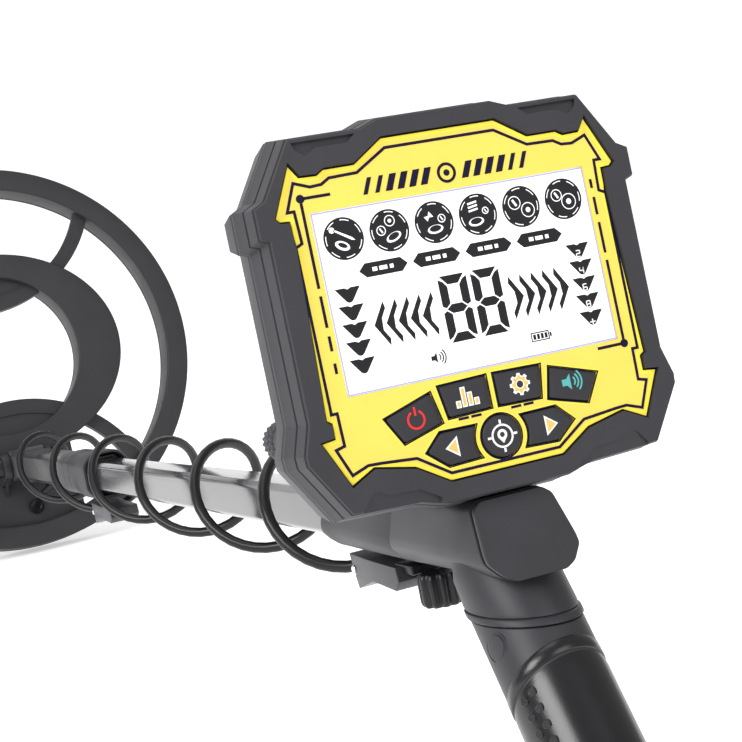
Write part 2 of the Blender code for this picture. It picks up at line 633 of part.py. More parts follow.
def lower_rod(root):
    slide = empty("rod_frame", (COLLAR_START, 0, 0), parent=root)
    start, end = ROD_START - COLLAR_START, ROD_END - COLLAR_START
    inside = clockwise(octagon(TUBE + 2 * GAP, TUBE_CHAMFER))
    bar("lower_tube", slide, anticlockwise(octagon(ROD, 0.0026)), [inside], start, end, CHARCOAL)

    length = COLLAR_END - COLLAR_START
    collar = lofted([(octagon(0.0290, 0.0062), 0.0), (octagon(0.0290, 0.0062), 0.034),
                     (octagon(0.0262, 0.0050), 0.040), (octagon(0.0262, 0.0050), length)])
    cut(collar, outline([octagon(ROD + 2 * GAP, 0.0026)], 0.120, 0.0022),
        outline([octagon(0.0200, 0.0024)], 0.010, -0.005))
    adopt(collar, "lock_collar", slide, rotation=ALONG_STEM, colour=CHARCOAL)
    cam_lever("lock_lever", "lock_pin", slide, (0.0110, 0, -0.0220), 1.16, (0.0110, 0.0060))

    reach = PIVOT.x - ROD_END - GAP
    yoke = lofted([(octagon(0.0200, 0.0030), 0.0), (octagon(0.0260, 0.0050, 0.0262), 0.006),
                   (octagon(0.0240, 0.0040, 0.0262), reach)])
    spigot = octagon(TUBE - 0.0004, TUBE_CHAMFER)
    join(yoke, outline([spigot], 0.030, -0.026), rod(0.0120, 0.0262, (0, 0, reach), "Y", 32))
    cut(yoke, rod(0.0032, 0.060, (0, 0, reach), "Y", 24))
    adopt(yoke, "coil_yoke", slide, (end + GAP, 0, 0), ALONG_STEM, CHARCOAL)
    return slide


# ---- search coil -------------------------------------------------------------------------------------------
def ellipse(along, across, count):
    return [(along * cos(2 * pi * i / count), across * sin(2 * pi * i / count)) for i in range(count)]


def arch_strip(sign):
    """One arch's band, from rim to rim; it bows towards the coil's middle."""
    rim = COIL_R - COIL_RIM / 2
    meet = (rim * rim + ARCH_AT * ARCH_AT - ARCH_R * ARCH_R) / (2 * ARCH_AT)
    reach = (rim * rim - meet * meet) ** 0.5
    start = atan2(reach, meet - ARCH_AT)
    outer = circle(ARCH_R, 29, (ARCH_AT, 0), start, 2 * pi - start)
    inner = circle(ARCH_R - ARCH_BAND, 29, (ARCH_AT, 0), start, 2 * pi - start)
    return [(sign * x, y) for x, y in outer + inner[::-1]]


def arch_lens(sign, radius):
    """Where one arch's disc overlaps the inner ring's oval, as a convex outline."""
    along, across = OVAL[0] - 0.004, OVAL[1] - 0.004
    disc = circle(radius, 48, (sign * ARCH_AT, 0), start=0.02, end=0.02 + 2 * pi)
    shared = [(x, y) for x, y in disc if (x / along) ** 2 + (y / across) ** 2 < 1]
    shared += [(x, y) for x, y in ellipse(along, across, 46)
               if (x - sign * ARCH_AT) ** 2 + y * y < radius ** 2]
    middle = sum(x for x, _ in shared) / len(shared)
    return sorted(shared, key=lambda point: atan2(point[1], point[0] - middle))


def search_coil(slide):
    hinge = empty("coil_hinge", PIVOT - Vector((COLLAR_START, 0, 0)), (0, -COIL_ANGLE, 0), slide)
    to_centre = -PIVOT_IN_COIL

    rim = [circle(COIL_R, 72), clockwise(circle(COIL_R - COIL_RIM, 72))]
    shell = outline(rim, COIL_TOP - COIL_UNDER, COIL_UNDER)
    hole = clockwise(circle(OVAL_HOLE, 48, start=0.03, end=0.03 + 2 * pi))
    oval = outline([ellipse(*OVAL, 60), hole], COIL_TOP - COIL_UNDER - 0.0001, COIL_UNDER)
    thick = WEB_TOP - WEB_UNDER
    join(shell, outline([anticlockwise(arch_strip(1))], thick, WEB_UNDER),
         outline([anticlockwise(arch_strip(-1))], thick, WEB_UNDER),
         outline([rectangle(0.0760, 2 * PLATE_HALF, (-0.1060, 0))], thick - 0.0002, WEB_UNDER + 0.0001), oval,
         outline([arch_lens(1, ARCH_R - ARCH_BAND + 0.001)], thick - 0.0020, WEB_UNDER + 0.0002),
         outline([arch_lens(-1, ARCH_R - ARCH_BAND + 0.001)], thick - 0.0008, WEB_UNDER + 0.0003))
    ear_x, ear_top = PIVOT_IN_COIL.x, PIVOT_IN_COIL.z
    tongue = [(ear_x - EAR_R - 0.004, 0.0), (ear_x + EAR_R + 0.004, 0.0)]
    tongue += circle(EAR_R, 15, (ear_x, ear_top), 0.0, pi)
    for start in (EAR_Y, -EAR_Y - EAR_THICK):
        ear = outline([tongue], EAR_THICK, start)
        ear.data.transform(Matrix.Rotation(pi / 2, 4, "X"))
        join(shell, ear)
    for middle, steps in ((WINDING_OUTER_R, 72), (WINDING_INNER_R, 60)):
        outside, inside = middle + GROOVE / 2, middle - GROOVE / 2
        channel = [(outside, GROOVE_TOP), (outside, COIL_UNDER - 0.001), (inside, COIL_UNDER - 0.001),
                   (inside, GROOVE_TOP)]
        cut(shell, turned(channel, steps, closed=True))
    cable_hole = rod(0.0028, 0.040, (GLAND[0], GLAND[1], 0), sides=18)
    cut(shell, cable_hole, rod(0.0032, 0.080, PIVOT_IN_COIL, "Y", 22))
    adopt(shell, "coil_shell", hinge, to_centre, colour=CHARCOAL)

    lid = COIL_UNDER - GAP
    cover = outline(rim, 0.0020, lid - 0.0020)
    join(cover, outline([ellipse(*OVAL, 60), clockwise(circle(OVAL_HOLE, 48))], 0.0020, lid - 0.0020),
         block((0.062, 0.060, 0.0020), (-0.108, 0, lid - 0.0010)))
    adopt(cover, "coil_cover", hinge, to_centre, colour=BLACK)
    windings = (("winding_outer", WINDING_OUTER_R, 72), ("winding_inner", WINDING_INNER_R, 60))
    for name, middle, steps in windings:
        outside, inside = middle + WINDING / 2, middle - WINDING / 2
        low, high = lid + GAP, lid + GAP + WINDING
        wire = [(outside, high), (outside, low), (inside, low), (inside, high)]
        adopt(turned(wire, steps, closed=True), name, hinge, to_centre, colour=COPPER)

    reach = EAR_Y + EAR_THICK
    bolt = join(rod(0.0029, 0.0560, (0, -0.0045, 0), "Y", 24),
                rod(0.0075, 0.0040, (0, reach + 0.0023, 0), "Y", 28))
    adopt(bolt, "pivot_bolt", hinge, colour=BLACK)
    knob = turned([(0.0, 0.0060), (0.0085, 0.0060), (0.0092, 0.0045), (0.0092, -0.0045), (0.0070, -0.0060),
                   (0.0, -0.0060)], 36)
    cut(knob, rod(0.0032, 0.0300, sides=24))
    for turn in range(10):
        angle = turn * 2 * pi / 10
        cut(knob, rod(0.0011, 0.0300, (0.0096 * cos(angle), 0.0096 * sin(angle), 0), sides=10))
    adopt(knob, "pivot_knob", hinge, (0, -reach - 0.0068, 0), (pi / 2, 0, 0), BLACK)
    ring_profile = [(0.0050, 0.0045), (0.0056, 0.0035), (0.0056, 0.0003), (0.0027, 0.0003), (0.0027, 0.0045)]
    place = to_centre + Vector((GLAND[0], GLAND[1], WEB_TOP))
    adopt(turned(ring_profile, 28, closed=True), "cable_gland", hinge, place, colour=BLACK)
    return hinge


# ---- cable -------------------------------------------------------------------------------------------------
def on_helix(turns):
    """A point of the cable, counted in turns from the top of the loop nearest the coil."""
    angle = 2 * pi * turns
    x = HELIX_AT - HELIX_PITCH * turns + HELIX_GROWTH * turns * turns
    return Vector((x, HELIX_R * sin(angle), HELIX_R * cos(angle)))


def helix_run(start, end, per_turn=12):
    count = max(2, round((end - start) * per_turn))
    return [on_helix(start + (end - start) * i / count) for i in range(count + 1)]


def through(points, step):
    """A smooth curve through a few points, sampled about every `step`."""
    points = [Vector(p) for p in points]
    ends = [2 * points[0] - points[1]] + points + [2 * points[-1] - points[-2]]
    route = []
    for a, b, c, d in zip(ends, ends[1:], ends[2:], ends[3:]):
        count = max(1, round((c - b).length / step))
        for i in range(count):
            t = i / count
            route.append(0.5 * (2 * b + (c - a) * t + (2 * a - 5 * b + 4 * c - d) * t * t
                                + (3 * b - a - 3 * c + d) * t ** 3))
    return route + [points[-1]]


def cable(root):
    lead = [on_helix(LAST_TURN), (-0.0680, -0.0240, 0.0080), (-0.0790, -0.0285, 0.0220),
            (-0.0930, -0.0350, 0.0340), (-0.1080, -0.0390, 0.0395), (-0.1250, -0.0400, 0.0405)]
    upper = helix_run(LOOPS_MEET, LAST_TURN)[:-1] + through(lead, 0.012)
    adopt(swept(upper, CABLE_R), "cable_stem", root, colour=BLACK)
    onward = on_helix(LOOPS_MEET - 0.01) - on_helix(LOOPS_MEET)
    break_at = on_helix(LOOPS_MEET) + onward.normalized() * GAP * 2
    middle = [break_at] + helix_run(-0.10, LOOPS_MEET - 0.03)[::-1]
    adopt(swept(middle, CABLE_R), "cable_rod", root, colour=BLACK)
    joint = on_helix(-0.10) + (on_helix(-0.11) - on_helix(-0.10)).normalized() * GAP * 2
    tail = [joint] + helix_run(-0.40, -0.14)[::-1] + [(0.6640, -0.0062, -0.0250), (0.6770, -0.0040, -0.0315),
                                                      (0.6845, -0.0035, -0.0352)]
    adopt(swept(through(tail, 0.010), CABLE_R), "cable_tail", root, colour=BLACK)


# ---- the whole object --------------------------------------------------------------------------------------
def stem_pitch():
    """How far the stem points down when the coil's rim and the foot both touch the ground."""
    along = Vector((cos(COIL_ANGLE), 0, sin(COIL_ANGLE)))
    normal = Vector((-sin(COIL_ANGLE), 0, cos(COIL_ANGLE)))
    rim = COIL_CENTRE - along * COIL_R + normal * (COIL_UNDER - GAP - 0.0020)
    return atan2(rim.z - FOOT_Z, rim.x - FOOT_X)


def settle(root):
    """Puts the origin at the middle of the object's footprint, on the ground."""
    bpy.context.view_layer.update()
    depsgraph = bpy.context.evaluated_depsgraph_get()
    corners = []
    for obj in DETECTOR.objects:
        if obj.type in {"MESH", "CURVE"} and not obj.name.startswith("cable_"):
            solid = obj.evaluated_get(depsgraph).to_mesh()
            corners += [obj.matrix_world @ vertex.co for vertex in solid.vertices]
    low = [min(corner[axis] for corner in corners) for axis in range(3)]
    high = [max(corner[axis] for corner in corners) for axis in range(3)]
    root.location = (-(low[0] + high[0]) / 2, 0.0, -low[2])


def build():
    clear_scene()
    root = empty("detector", rotation=(0, 0, 0))
    control_box(root)
    handle(root)
    armrest(root)
    stem(root)
    slide = lower_rod(root)
    search_coil(slide)
    cable(root)
    root.rotation_euler = (0, stem_pitch(), 0)
    settle(root)
    print("stem pitch", round(degrees(stem_pitch()), 3), "origin", [round(v, 6) for v in root.location])


build()
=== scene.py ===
"""The looks of the metal detector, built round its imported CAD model.

Lengths are in metres. Most pieces are modelled in one of three flat frames, all taken from the joints
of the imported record: the stem's (x towards the coil, y left, z up off the stem), the panel's (u right,
v up, n out of the display) and the coil's (x towards its far rim, y left, z out of its top).
"""
import json
from math import atan2, cos, pi, radians, sin

import bmesh
import bpy
from mathutils import Matrix, Vector


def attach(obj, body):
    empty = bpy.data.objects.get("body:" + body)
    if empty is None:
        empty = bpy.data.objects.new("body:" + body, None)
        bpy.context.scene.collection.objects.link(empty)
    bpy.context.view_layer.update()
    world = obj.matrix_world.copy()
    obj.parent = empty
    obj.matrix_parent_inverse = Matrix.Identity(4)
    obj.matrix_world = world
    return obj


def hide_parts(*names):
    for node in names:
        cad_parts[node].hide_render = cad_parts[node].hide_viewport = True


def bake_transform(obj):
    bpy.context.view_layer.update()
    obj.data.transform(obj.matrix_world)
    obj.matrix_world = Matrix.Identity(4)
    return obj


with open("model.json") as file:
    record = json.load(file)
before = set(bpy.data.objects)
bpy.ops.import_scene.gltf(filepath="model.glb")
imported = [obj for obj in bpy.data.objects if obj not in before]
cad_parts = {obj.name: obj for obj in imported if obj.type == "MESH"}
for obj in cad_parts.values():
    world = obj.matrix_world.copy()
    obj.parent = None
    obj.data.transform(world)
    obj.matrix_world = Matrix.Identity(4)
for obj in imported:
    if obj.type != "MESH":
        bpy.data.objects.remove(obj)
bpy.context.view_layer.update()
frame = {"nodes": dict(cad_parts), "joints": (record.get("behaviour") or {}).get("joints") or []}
NODES = frame["nodes"]
JOINTS = {joint["name"]: joint for joint in frame["joints"]}


def move(x, y, z):
    return Matrix.Translation((x, y, z))


def about(axis, angle):
    return Matrix.Rotation(angle, 4, axis)


# ---- the three frames ------------------------------------------------------
PIVOT_X = 0.672                   # the coil's pivot, along the stem
ALONG = Vector(JOINTS["stem_slide"]["axis"])
LEFT = Vector((0.0, 1.0, 0.0))
RISE = ALONG.cross(LEFT)
STEM = (Matrix.Translation(Vector(JOINTS["coil_tilt"]["pos_m"]) - ALONG * PIVOT_X)
    @ Matrix((ALONG, LEFT, RISE)).transposed().to_4x4())

PANEL_CENTRE = Vector((-0.1921, 0.0, 0.0777))
PANEL_LEAN = radians(2.41)
PANEL = STEM @ Matrix.Translation(PANEL_CENTRE) @ Matrix((
    (0.0, sin(PANEL_LEAN), -cos(PANEL_LEAN), 0.0),
    (-1.0, 0.0, 0.0, 0.0),
    (0.0, cos(PANEL_LEAN), sin(PANEL_LEAN), 0.0),
    (0.0, 0.0, 0.0, 1.0)))

COIL_ANGLE = radians(81.5)
COIL_CENTRE = Vector((0.7134, 0.0, 0.0839))
COIL = STEM @ Matrix.Translation(COIL_CENTRE) @ about("Y", -COIL_ANGLE)

HANDLE_TOP = Vector((-0.178, 0.0, -0.0127))
HANDLE_LEAN = radians(34.2)
HANDLE = STEM @ Matrix.Translation(HANDLE_TOP) @ about("Y", HANDLE_LEAN)

GAP = 0.0003
BOX_DEPTH, BEZEL_DEPTH, BEZEL_RISE, SIDE_FLARE = 0.034, 0.014, 0.0012, 0.0028


# ---- camera ----------------------------------------------------------------
def camera():
    data = bpy.data.cameras.new("camera")
    data.sensor_width = 36.0
    data.lens = 82.405
    data.clip_start = 0.01
    obj = bpy.data.objects.new("camera", data)
    bpy.context.scene.collection.objects.link(obj)
    right = Vector((-0.3592, -0.9136, -0.1908))
    ahead = Vector((0.9329, -0.3572, -0.0461)).normalized()
    up = right.cross(ahead).normalized()
    turn = Matrix((ahead.cross(up), up, -ahead)).transposed().to_4x4()
    obj.matrix_world = STEM @ move(-0.6535, 0.2129, 0.0795) @ turn
    bpy.context.scene.camera = obj


camera()


# ---- materials -------------------------------------------------------------
def nodes_of(name):
    made = bpy.data.materials.new(name)
    made.use_nodes = True
    tree = made.node_tree
    return made, tree, tree.nodes["Principled BSDF"]


def noise(tree, scale, detail=3.0, stretch=(1.0, 1.0, 1.0)):
    place = tree.nodes.new("ShaderNodeTexCoord")
    mapping = tree.nodes.new("ShaderNodeMapping")
    mapping.inputs["Scale"].default_value = stretch
    tree.links.new(place.outputs["Object"], mapping.inputs["Vector"])
    texture = tree.nodes.new("ShaderNodeTexNoise")
    texture.inputs["Scale"].default_value = scale
    texture.inputs["Detail"].default_value = detail
    tree.links.new(mapping.outputs["Vector"], texture.inputs["Vector"])
    return texture.outputs["Fac"]


def ramp(tree, source, first, last, low=0.35, high=0.65):
    node = tree.nodes.new("ShaderNodeValToRGB")
    node.color_ramp.elements[0].position = low
    node.color_ramp.elements[0].color = (*first, 1.0)
    node.color_ramp.elements[1].position = high
    node.color_ramp.elements[1].color = (*last, 1.0)
    tree.links.new(source, node.inputs["Fac"])
    return node.outputs["Color"]


def spread(tree, source, low, high):
    node = tree.nodes.new("ShaderNodeMapRange")
    node.inputs["From Min"].default_value = 0.3
    node.inputs["From Max"].default_value = 0.7
    node.inputs["To Min"].default_value = low
    node.inputs["To Max"].default_value = high
    tree.links.new(source, node.inputs["Value"])
    return node.outputs["Result"]


def bumped(tree, shader, sources):
    """Chains bumps onto a shader; each source is (output, strength, depth)."""
    before = None
    for output, strength, depth in sources:
        node = tree.nodes.new("ShaderNodeBump")
        node.inputs["Strength"].default_value = strength
        node.inputs["Distance"].default_value = depth
        tree.links.new(output, node.inputs["Height"])
        if before is not None:
            tree.links.new(before, node.inputs["Normal"])
        before = node.outputs["Normal"]
    tree.links.new(before, shader.inputs["Normal"])


def surface(name, colour, roughness, metallic=0.0, mottle=0.1, blotch=45.0, grain=2600.0, grit=0.25,
        depth=0.00012, coat=0.0, stretch=(1.0, 1.0, 1.0), specular=0.5):
    """A moulded or metal surface: slow blotches of colour and gloss, and a fine grain."""
    made, tree, shader = nodes_of(name)
    slow = noise(tree, blotch, 4.0, stretch)
    fine = noise(tree, grain, 2.0, stretch)
    dark = tuple(c * (1.0 - mottle) for c in colour)
    light = tuple(min(1.0, c * (1.0 + mottle)) for c in colour)
    tree.links.new(ramp(tree, slow, dark, light), shader.inputs["Base Color"])
    tree.links.new(spread(tree, slow, roughness * 0.9, min(1.0, roughness * 1.12)),
        shader.inputs["Roughness"])
    shader.inputs["Metallic"].default_value = metallic
    shader.inputs["Coat Weight"].default_value = coat
    shader.inputs["Coat Roughness"].default_value = 0.12
    shader.inputs["Specular IOR Level"].default_value = specular
    bumped(tree, shader, [(fine, grit, depth)])
    return made


CHARCOAL = surface("charcoal_moulding", (0.0345, 0.033, 0.0385), 0.52, grit=0.3, specular=0.3)
HOUSING = surface("housing_moulding", (0.0335, 0.0325, 0.0375), 0.44, grit=0.22, specular=0.32)
BLACK = surface("black_moulding", (0.007, 0.007, 0.0085), 0.34, grit=0.15, specular=0.35)
SATIN = surface("satin_black", (0.028, 0.0275, 0.032), 0.36, grit=0.08, specular=0.35)
GRIP = surface("grip_rubber", (0.008, 0.0079, 0.0092), 0.25, grit=0.25, grain=1800.0, specular=0.5)
RUBBER = surface("rubber_black", (0.014, 0.014, 0.016), 0.7, grit=0.6, depth=0.0002, specular=0.3)
TUBE = surface("tube_anodised", (0.032, 0.031, 0.036), 0.15, metallic=0.15, coat=0.5, mottle=0.05,
    stretch=(1, 14, 14), grain=500.0, grit=0.05)
ROD = surface("rod_black", (0.026, 0.0255, 0.029), 0.3, grit=0.12, coat=0.15, specular=0.35)
STEEL = surface("brushed_steel", (0.72, 0.72, 0.73), 0.3, metallic=0.9, mottle=0.06, stretch=(1, 9, 9),
    grit=0.1)
YELLOW = surface("panel_yellow", (0.955, 0.685, 0.115), 0.5, mottle=0.02, blotch=70.0, grit=0.05,
    specular=0.2)
EDGE_YELLOW = surface("panel_edge", (0.965, 0.8, 0.07), 0.5, mottle=0.02, blotch=70.0, grit=0.05,
    specular=0.2)
NAVY = surface("print_navy", (0.003, 0.003, 0.026), 0.45, mottle=0.1, grit=0.05, specular=0.15)
INK = surface("display_ink", (0.016, 0.0155, 0.018), 0.5, mottle=0.08, grit=0.02, specular=0.15)
KEY = surface("key_silicone", (0.03, 0.029, 0.034), 0.5, mottle=0.1, grit=0.15, specular=0.25)
RED = surface("print_red", (0.9, 0.03, 0.025), 0.45, mottle=0.04, grit=0.03, specular=0.2)
ORANGE = surface("print_orange", (0.96, 0.52, 0.15), 0.45, mottle=0.03, grit=0.03, specular=0.2)
WHITE = surface("print_white", (0.93, 0.93, 0.92), 0.45, mottle=0.02, grit=0.03, specular=0.2)
TEAL = surface("print_teal", (0.1, 0.44, 0.43), 0.45, mottle=0.04, grit=0.03, specular=0.2)
FOAM = surface("arm_foam", (0.016, 0.016, 0.018), 0.85, grit=0.9, grain=1400.0, depth=0.0004,
    specular=0.2)
SCREEN = surface("display_white_painted_glow", (0.96, 0.96, 0.965), 0.28, mottle=0.008, grit=0.0, specular=0.2)
# The screen's emission is a painted glow: it makes the display brighter than the lamps light it.
SCREEN.node_tree.nodes["Principled BSDF"].inputs["Emission Color"].default_value = (1.0, 1.0, 1.0, 1.0)
SCREEN.node_tree.nodes["Principled BSDF"].inputs["Emission Strength"].default_value = 0.35
COIL_FACE = surface("coil_moulding", (0.027, 0.0262, 0.03), 0.5, grit=0.3, specular=0.3)
COPPER = surface("enamelled_wire", (0.72, 0.32, 0.14), 0.35, metallic=1.0, stretch=(1, 1, 30),
    grain=900.0, grit=0.6)
GREEN = surface("board_lacquer", (0.03, 0.22, 0.08), 0.4, mottle=0.15)
CABLE = surface("cable_sleeve", (0.0055, 0.0055, 0.0065), 0.32, grit=0.12, grain=900.0, specular=0.34)
RIM = surface("display_rim", (0.42, 0.44, 0.8), 0.4, mottle=0.03, grit=0.02, specular=0.2)
SLEEVE = surface("battery_sleeve", (0.05, 0.16, 0.45), 0.4, mottle=0.05)


# ---- mesh helpers ----------------------------------------------------------
def anticlockwise(loop):
    area = sum(a[0] * b[1] - b[0] * a[1] for a, b in zip(loop, loop[1:] + loop[:1]))
    return list(loop) if area > 0 else list(reversed(loop))


def clockwise(loop):
    return list(reversed(anticlockwise(loop)))


def circle(radius, count, centre=(0.0, 0.0), start=0.0, end=2 * pi):
    """Points round a circle, or along an arc of it with both its ends."""
    whole = abs(end - start - 2 * pi) < 1e-6
    steps = count if whole else count - 1
    turns = [start + (end - start) * i / steps for i in range(count)]
    return [(centre[0] + radius * cos(a), centre[1] + radius * sin(a)) for a in turns]


def rectangle(width, height, centre=(0.0, 0.0)):
    a, b = width / 2, height / 2
    return [(centre[0] + x, centre[1] + y) for x, y in ((a, b), (-a, b), (-a, -b), (a, -b))]


def shifted(loop, offset):
    return [(x + offset[0], y + offset[1]) for x, y in loop]


def turned_by(loop, angle):
    return [(x * cos(angle) - y * sin(angle), x * sin(angle) + y * cos(angle)) for x, y in loop]


def scaled(loop, factor):
    return [(x * factor, y * factor) for x, y in loop]


def squashed(loop, factor):
    return [(x, y * factor) for x, y in loop]


def flipped(loop):
    return [(-x, y) for x, y in loop]


def arc_band(outer, inner, count, centre, start, end):
    """The strip between two arcs round one centre."""
    return circle(outer, count, centre, start, end) + circle(inner, count, centre, start, end)[::-1]


def mirrored(half):
    """A whole outline from its right half, listed from top to bottom."""
    return half + [(-x, y) for x, y in reversed(half) if x > 0]


def grown(loop, distance):
    """A clockwise outline with every side moved outwards."""
    moved = []
    for i, point in enumerate(loop):
        before = (Vector(point) - Vector(loop[i - 1])).normalized()
        after = (Vector(loop[(i + 1) % len(loop)]) - Vector(point)).normalized()
        first, second = Vector((-before.y, before.x)), Vector((-after.y, after.x))
        bisector = (first + second).normalized()
        moved.append(tuple(Vector(point) + bisector * distance / max(bisector.dot(first), 0.5)))
    return moved


def rounded(loop, radius, steps=4):
    """An outline with its corners rounded, each by at most `radius`."""
    made = []
    for i, point in enumerate(loop):
        here = Vector(point)
        back, ahead = Vector(loop[i - 1]) - here, Vector(loop[(i + 1) % len(loop)]) - here
        reach = min(radius, back.length * 0.45, ahead.length * 0.45)
        a, b = here + back.normalized() * reach, here + ahead.normalized() * reach
        for k in range(steps + 1):
            t = k / steps
            made.append(tuple(a * (1 - t) ** 2 + here * 2 * t * (1 - t) + b * t * t))
    return made


def ribbon(points, width):
    """A line of even width as one closed outline, its corners mitred."""
    left, right = [], []
    for i, point in enumerate(points):
        here = Vector(point)
        before = (here - Vector(points[i - 1])).normalized() if i else None
        after = (Vector(points[i + 1]) - here).normalized() if i < len(points) - 1 else None
        first = before or after
        second = after or before
        normal = Vector((-first.y - second.y, first.x + second.x)).normalized()
        reach = width / 2 / max(normal.dot(Vector((-first.y, first.x))), 0.45)
        left.append(tuple(here + normal * reach))
        right.append(tuple(here - normal * reach))
    return left + right[::-1]


def linked(name, mesh):
    obj = bpy.data.objects.new(name, mesh)
    bpy.context.scene.collection.objects.link(obj)
    return obj


def applied(obj):
    """The object with its modifiers made real."""
    bpy.context.view_layer.update()
    depsgraph = bpy.context.evaluated_depsgraph_get()
    mesh = bpy.data.meshes.new_from_object(obj.evaluated_get(depsgraph))
    obj.modifiers.clear()
    old = obj.data
    obj.data = mesh
    bpy.data.meshes.remove(old)
    return obj


def object_of(name, work):
    mesh = bpy.data.meshes.new(name)
    work.to_mesh(mesh)
    work.free()
    return linked(name, mesh)


def finished(name, work):
    """Turns the faces outwards and makes the object."""
    bmesh.ops.recalc_face_normals(work, faces=work.faces)
    return object_of(name, work)


def skin(work, rings):
    """Faces from each ring of corners to the next."""
    for one, two in zip(rings, rings[1:]):
        for i in range(len(one)):
            j = (i + 1) % len(one)
            work.faces.new((one[i], one[j], two[j], two[i]))


def plate(name, loops, low, high):
    """Flat outlines, those inside others being holes, as solids from `low` to `high`."""
    data = bpy.data.curves.new(name, "CURVE")
    data.dimensions = "2D"
    data.fill_mode = "BOTH"
    data.extrude = (high - low) / 2
    for loop in loops:
        spline = data.splines.new("POLY")
        spline.points.add(len(loop) - 1)
        for point, (x, y) in zip(spline.points, loop):
            point.co = (x, y, 0.0, 1.0)
        spline.use_cyclic_u = True
    source = bpy.data.objects.new(name, data)
    bpy.context.scene.collection.objects.link(source)
    bpy.context.view_layer.update()
    mesh = bpy.data.meshes.new_from_object(source.evaluated_get(bpy.context.evaluated_depsgraph_get()))
    bpy.data.objects.remove(source)
    work = bmesh.new()
    work.from_mesh(mesh)
    bmesh.ops.remove_doubles(work, verts=work.verts, dist=0.000001)
    bmesh.ops.recalc_face_normals(work, faces=work.faces)
    work.to_mesh(mesh)
    work.free()
    mesh.transform(move(0, 0, (high + low) / 2))
    return linked(name, mesh)


def lofted(name, sections, closed=True):
    """A skin through outlines of equal count, each given with its height."""
    work = bmesh.new()
    rings = [[work.verts.new((x, y, height)) for x, y in loop] for loop, height in sections]
    skin(work, rings)
    if closed:
        work.faces.new(rings[0])
        work.faces.new(rings[-1])
    return finished(name, work)


def turned(name, profile, steps=64, closed=False):
    """(radius, height) points turned about z."""
    work = bmesh.new()
    rings = []
    for radius, height in profile:
        if radius < 1e-7:
            rings.append([work.verts.new((0.0, 0.0, height))])
        else:
            rings.append([work.verts.new((x, y, height)) for x, y in circle(radius, steps)])
    pairs = list(zip(rings, rings[1:])) + ([(rings[-1], rings[0])] if closed else [])
    for one, two in pairs:
        for i in range(steps):
            j = (i + 1) % steps
            corners = [one[i % len(one)], one[j % len(one)], two[j % len(two)], two[i % len(two)]]
            corners = list(dict.fromkeys(corners))
            if len(corners) > 2:
                work.faces.new(corners)
    return finished(name, work)


def tube_along(name, route, radius, sides=16, caps=True):
    """A round tube along points, turning without twist."""
    work = bmesh.new()
    route = [Vector(p) for p in route]
    across = None
    rings = []
    for i, point in enumerate(route):
        ahead = (route[min(i + 1, len(route) - 1)] - route[max(i - 1, 0)]).normalized()
        if across is None:
            across = ahead.orthogonal().normalized()
        across = (across - ahead * across.dot(ahead)).normalized()
        other = ahead.cross(across)
        rings.append([work.verts.new(point + (across * cos(a) + other * sin(a)) * radius)
            for a in (2 * pi * k / sides for k in range(sides))])
    skin(work, rings)
    if caps:
        work.faces.new(rings[0][::-1])
        work.faces.new(rings[-1])
    return finished(name, work)


def soften(obj, width, segments=2, angle=30.0):
    bevel = obj.modifiers.new("bevel", "BEVEL")
    bevel.width = width
    bevel.segments = segments
    bevel.limit_method = "ANGLE"
    bevel.angle_limit = radians(angle)
    bevel.harden_normals = False
    return obj


def carved(obj, *cutters, operation="DIFFERENCE"):
    """Booleans made real, and the cutters removed."""
    for other in cutters:
        boolean = obj.modifiers.new("boolean", "BOOLEAN")
        boolean.operation = operation
        boolean.solver = "EXACT"
        boolean.object = other
        applied(obj)
        bpy.data.objects.remove(other, do_unlink=True)
    return obj


def shaded(obj, angle=35.0):
    obj.data.shade_smooth()
    obj.data.set_sharp_from_angle(angle=radians(angle))
    return obj


def piece(obj, body, material, place=None, replaces=(), angle=35.0):
    """Puts a finished mesh in the row frame, on its body, with its material."""
    if place is not None:
        obj.data.transform(place)
    obj.data.materials.clear()
    obj.data.materials.append(material)
    if angle:
        shaded(obj, angle)
    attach(obj, body)
    if replaces:
        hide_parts(*replaces)
    return obj


# ---- cable -----------------------------------------------------------------
CABLE_R = 0.0024
HELIX_R = 0.0228
HELIX_AT, HELIX_PITCH, HELIX_GROWTH = 0.5971, 0.1328, 0.00306
LOOPS_MEET, LAST_TURN = 1.7, 5.7


def on_helix(turns):
    angle = 2 * pi * turns
    x = HELIX_AT - HELIX_PITCH * turns + HELIX_GROWTH * turns * turns
    return Vector((x, HELIX_R * sin(angle), HELIX_R * cos(angle)))


def helix_run(start, end, per_turn=32):
    count = max(2, round((end - start) * per_turn))
    return [on_helix(start + (end - start) * i / count) for i in range(count + 1)]


def through(points, step):
    """A smooth curve through a few points, sampled about every `step`."""
    points = [Vector(p) for p in points]
    ends = [2 * points[0] - points[1]] + points + [2 * points[-1] - points[-2]]
    route = []
    for a, b, c, d in zip(ends, ends[1:], ends[2:], ends[3:]):
        count = max(1, round((c - b).length / step))
        for i in range(count):
            t = i / count
            route.append(0.5 * (2 * b + (c - a) * t + (2 * a - 5 * b + 4 * c - d) * t * t
                + (3 * b - a - 3 * c + d) * t ** 3))
    return route + [points[-1]]


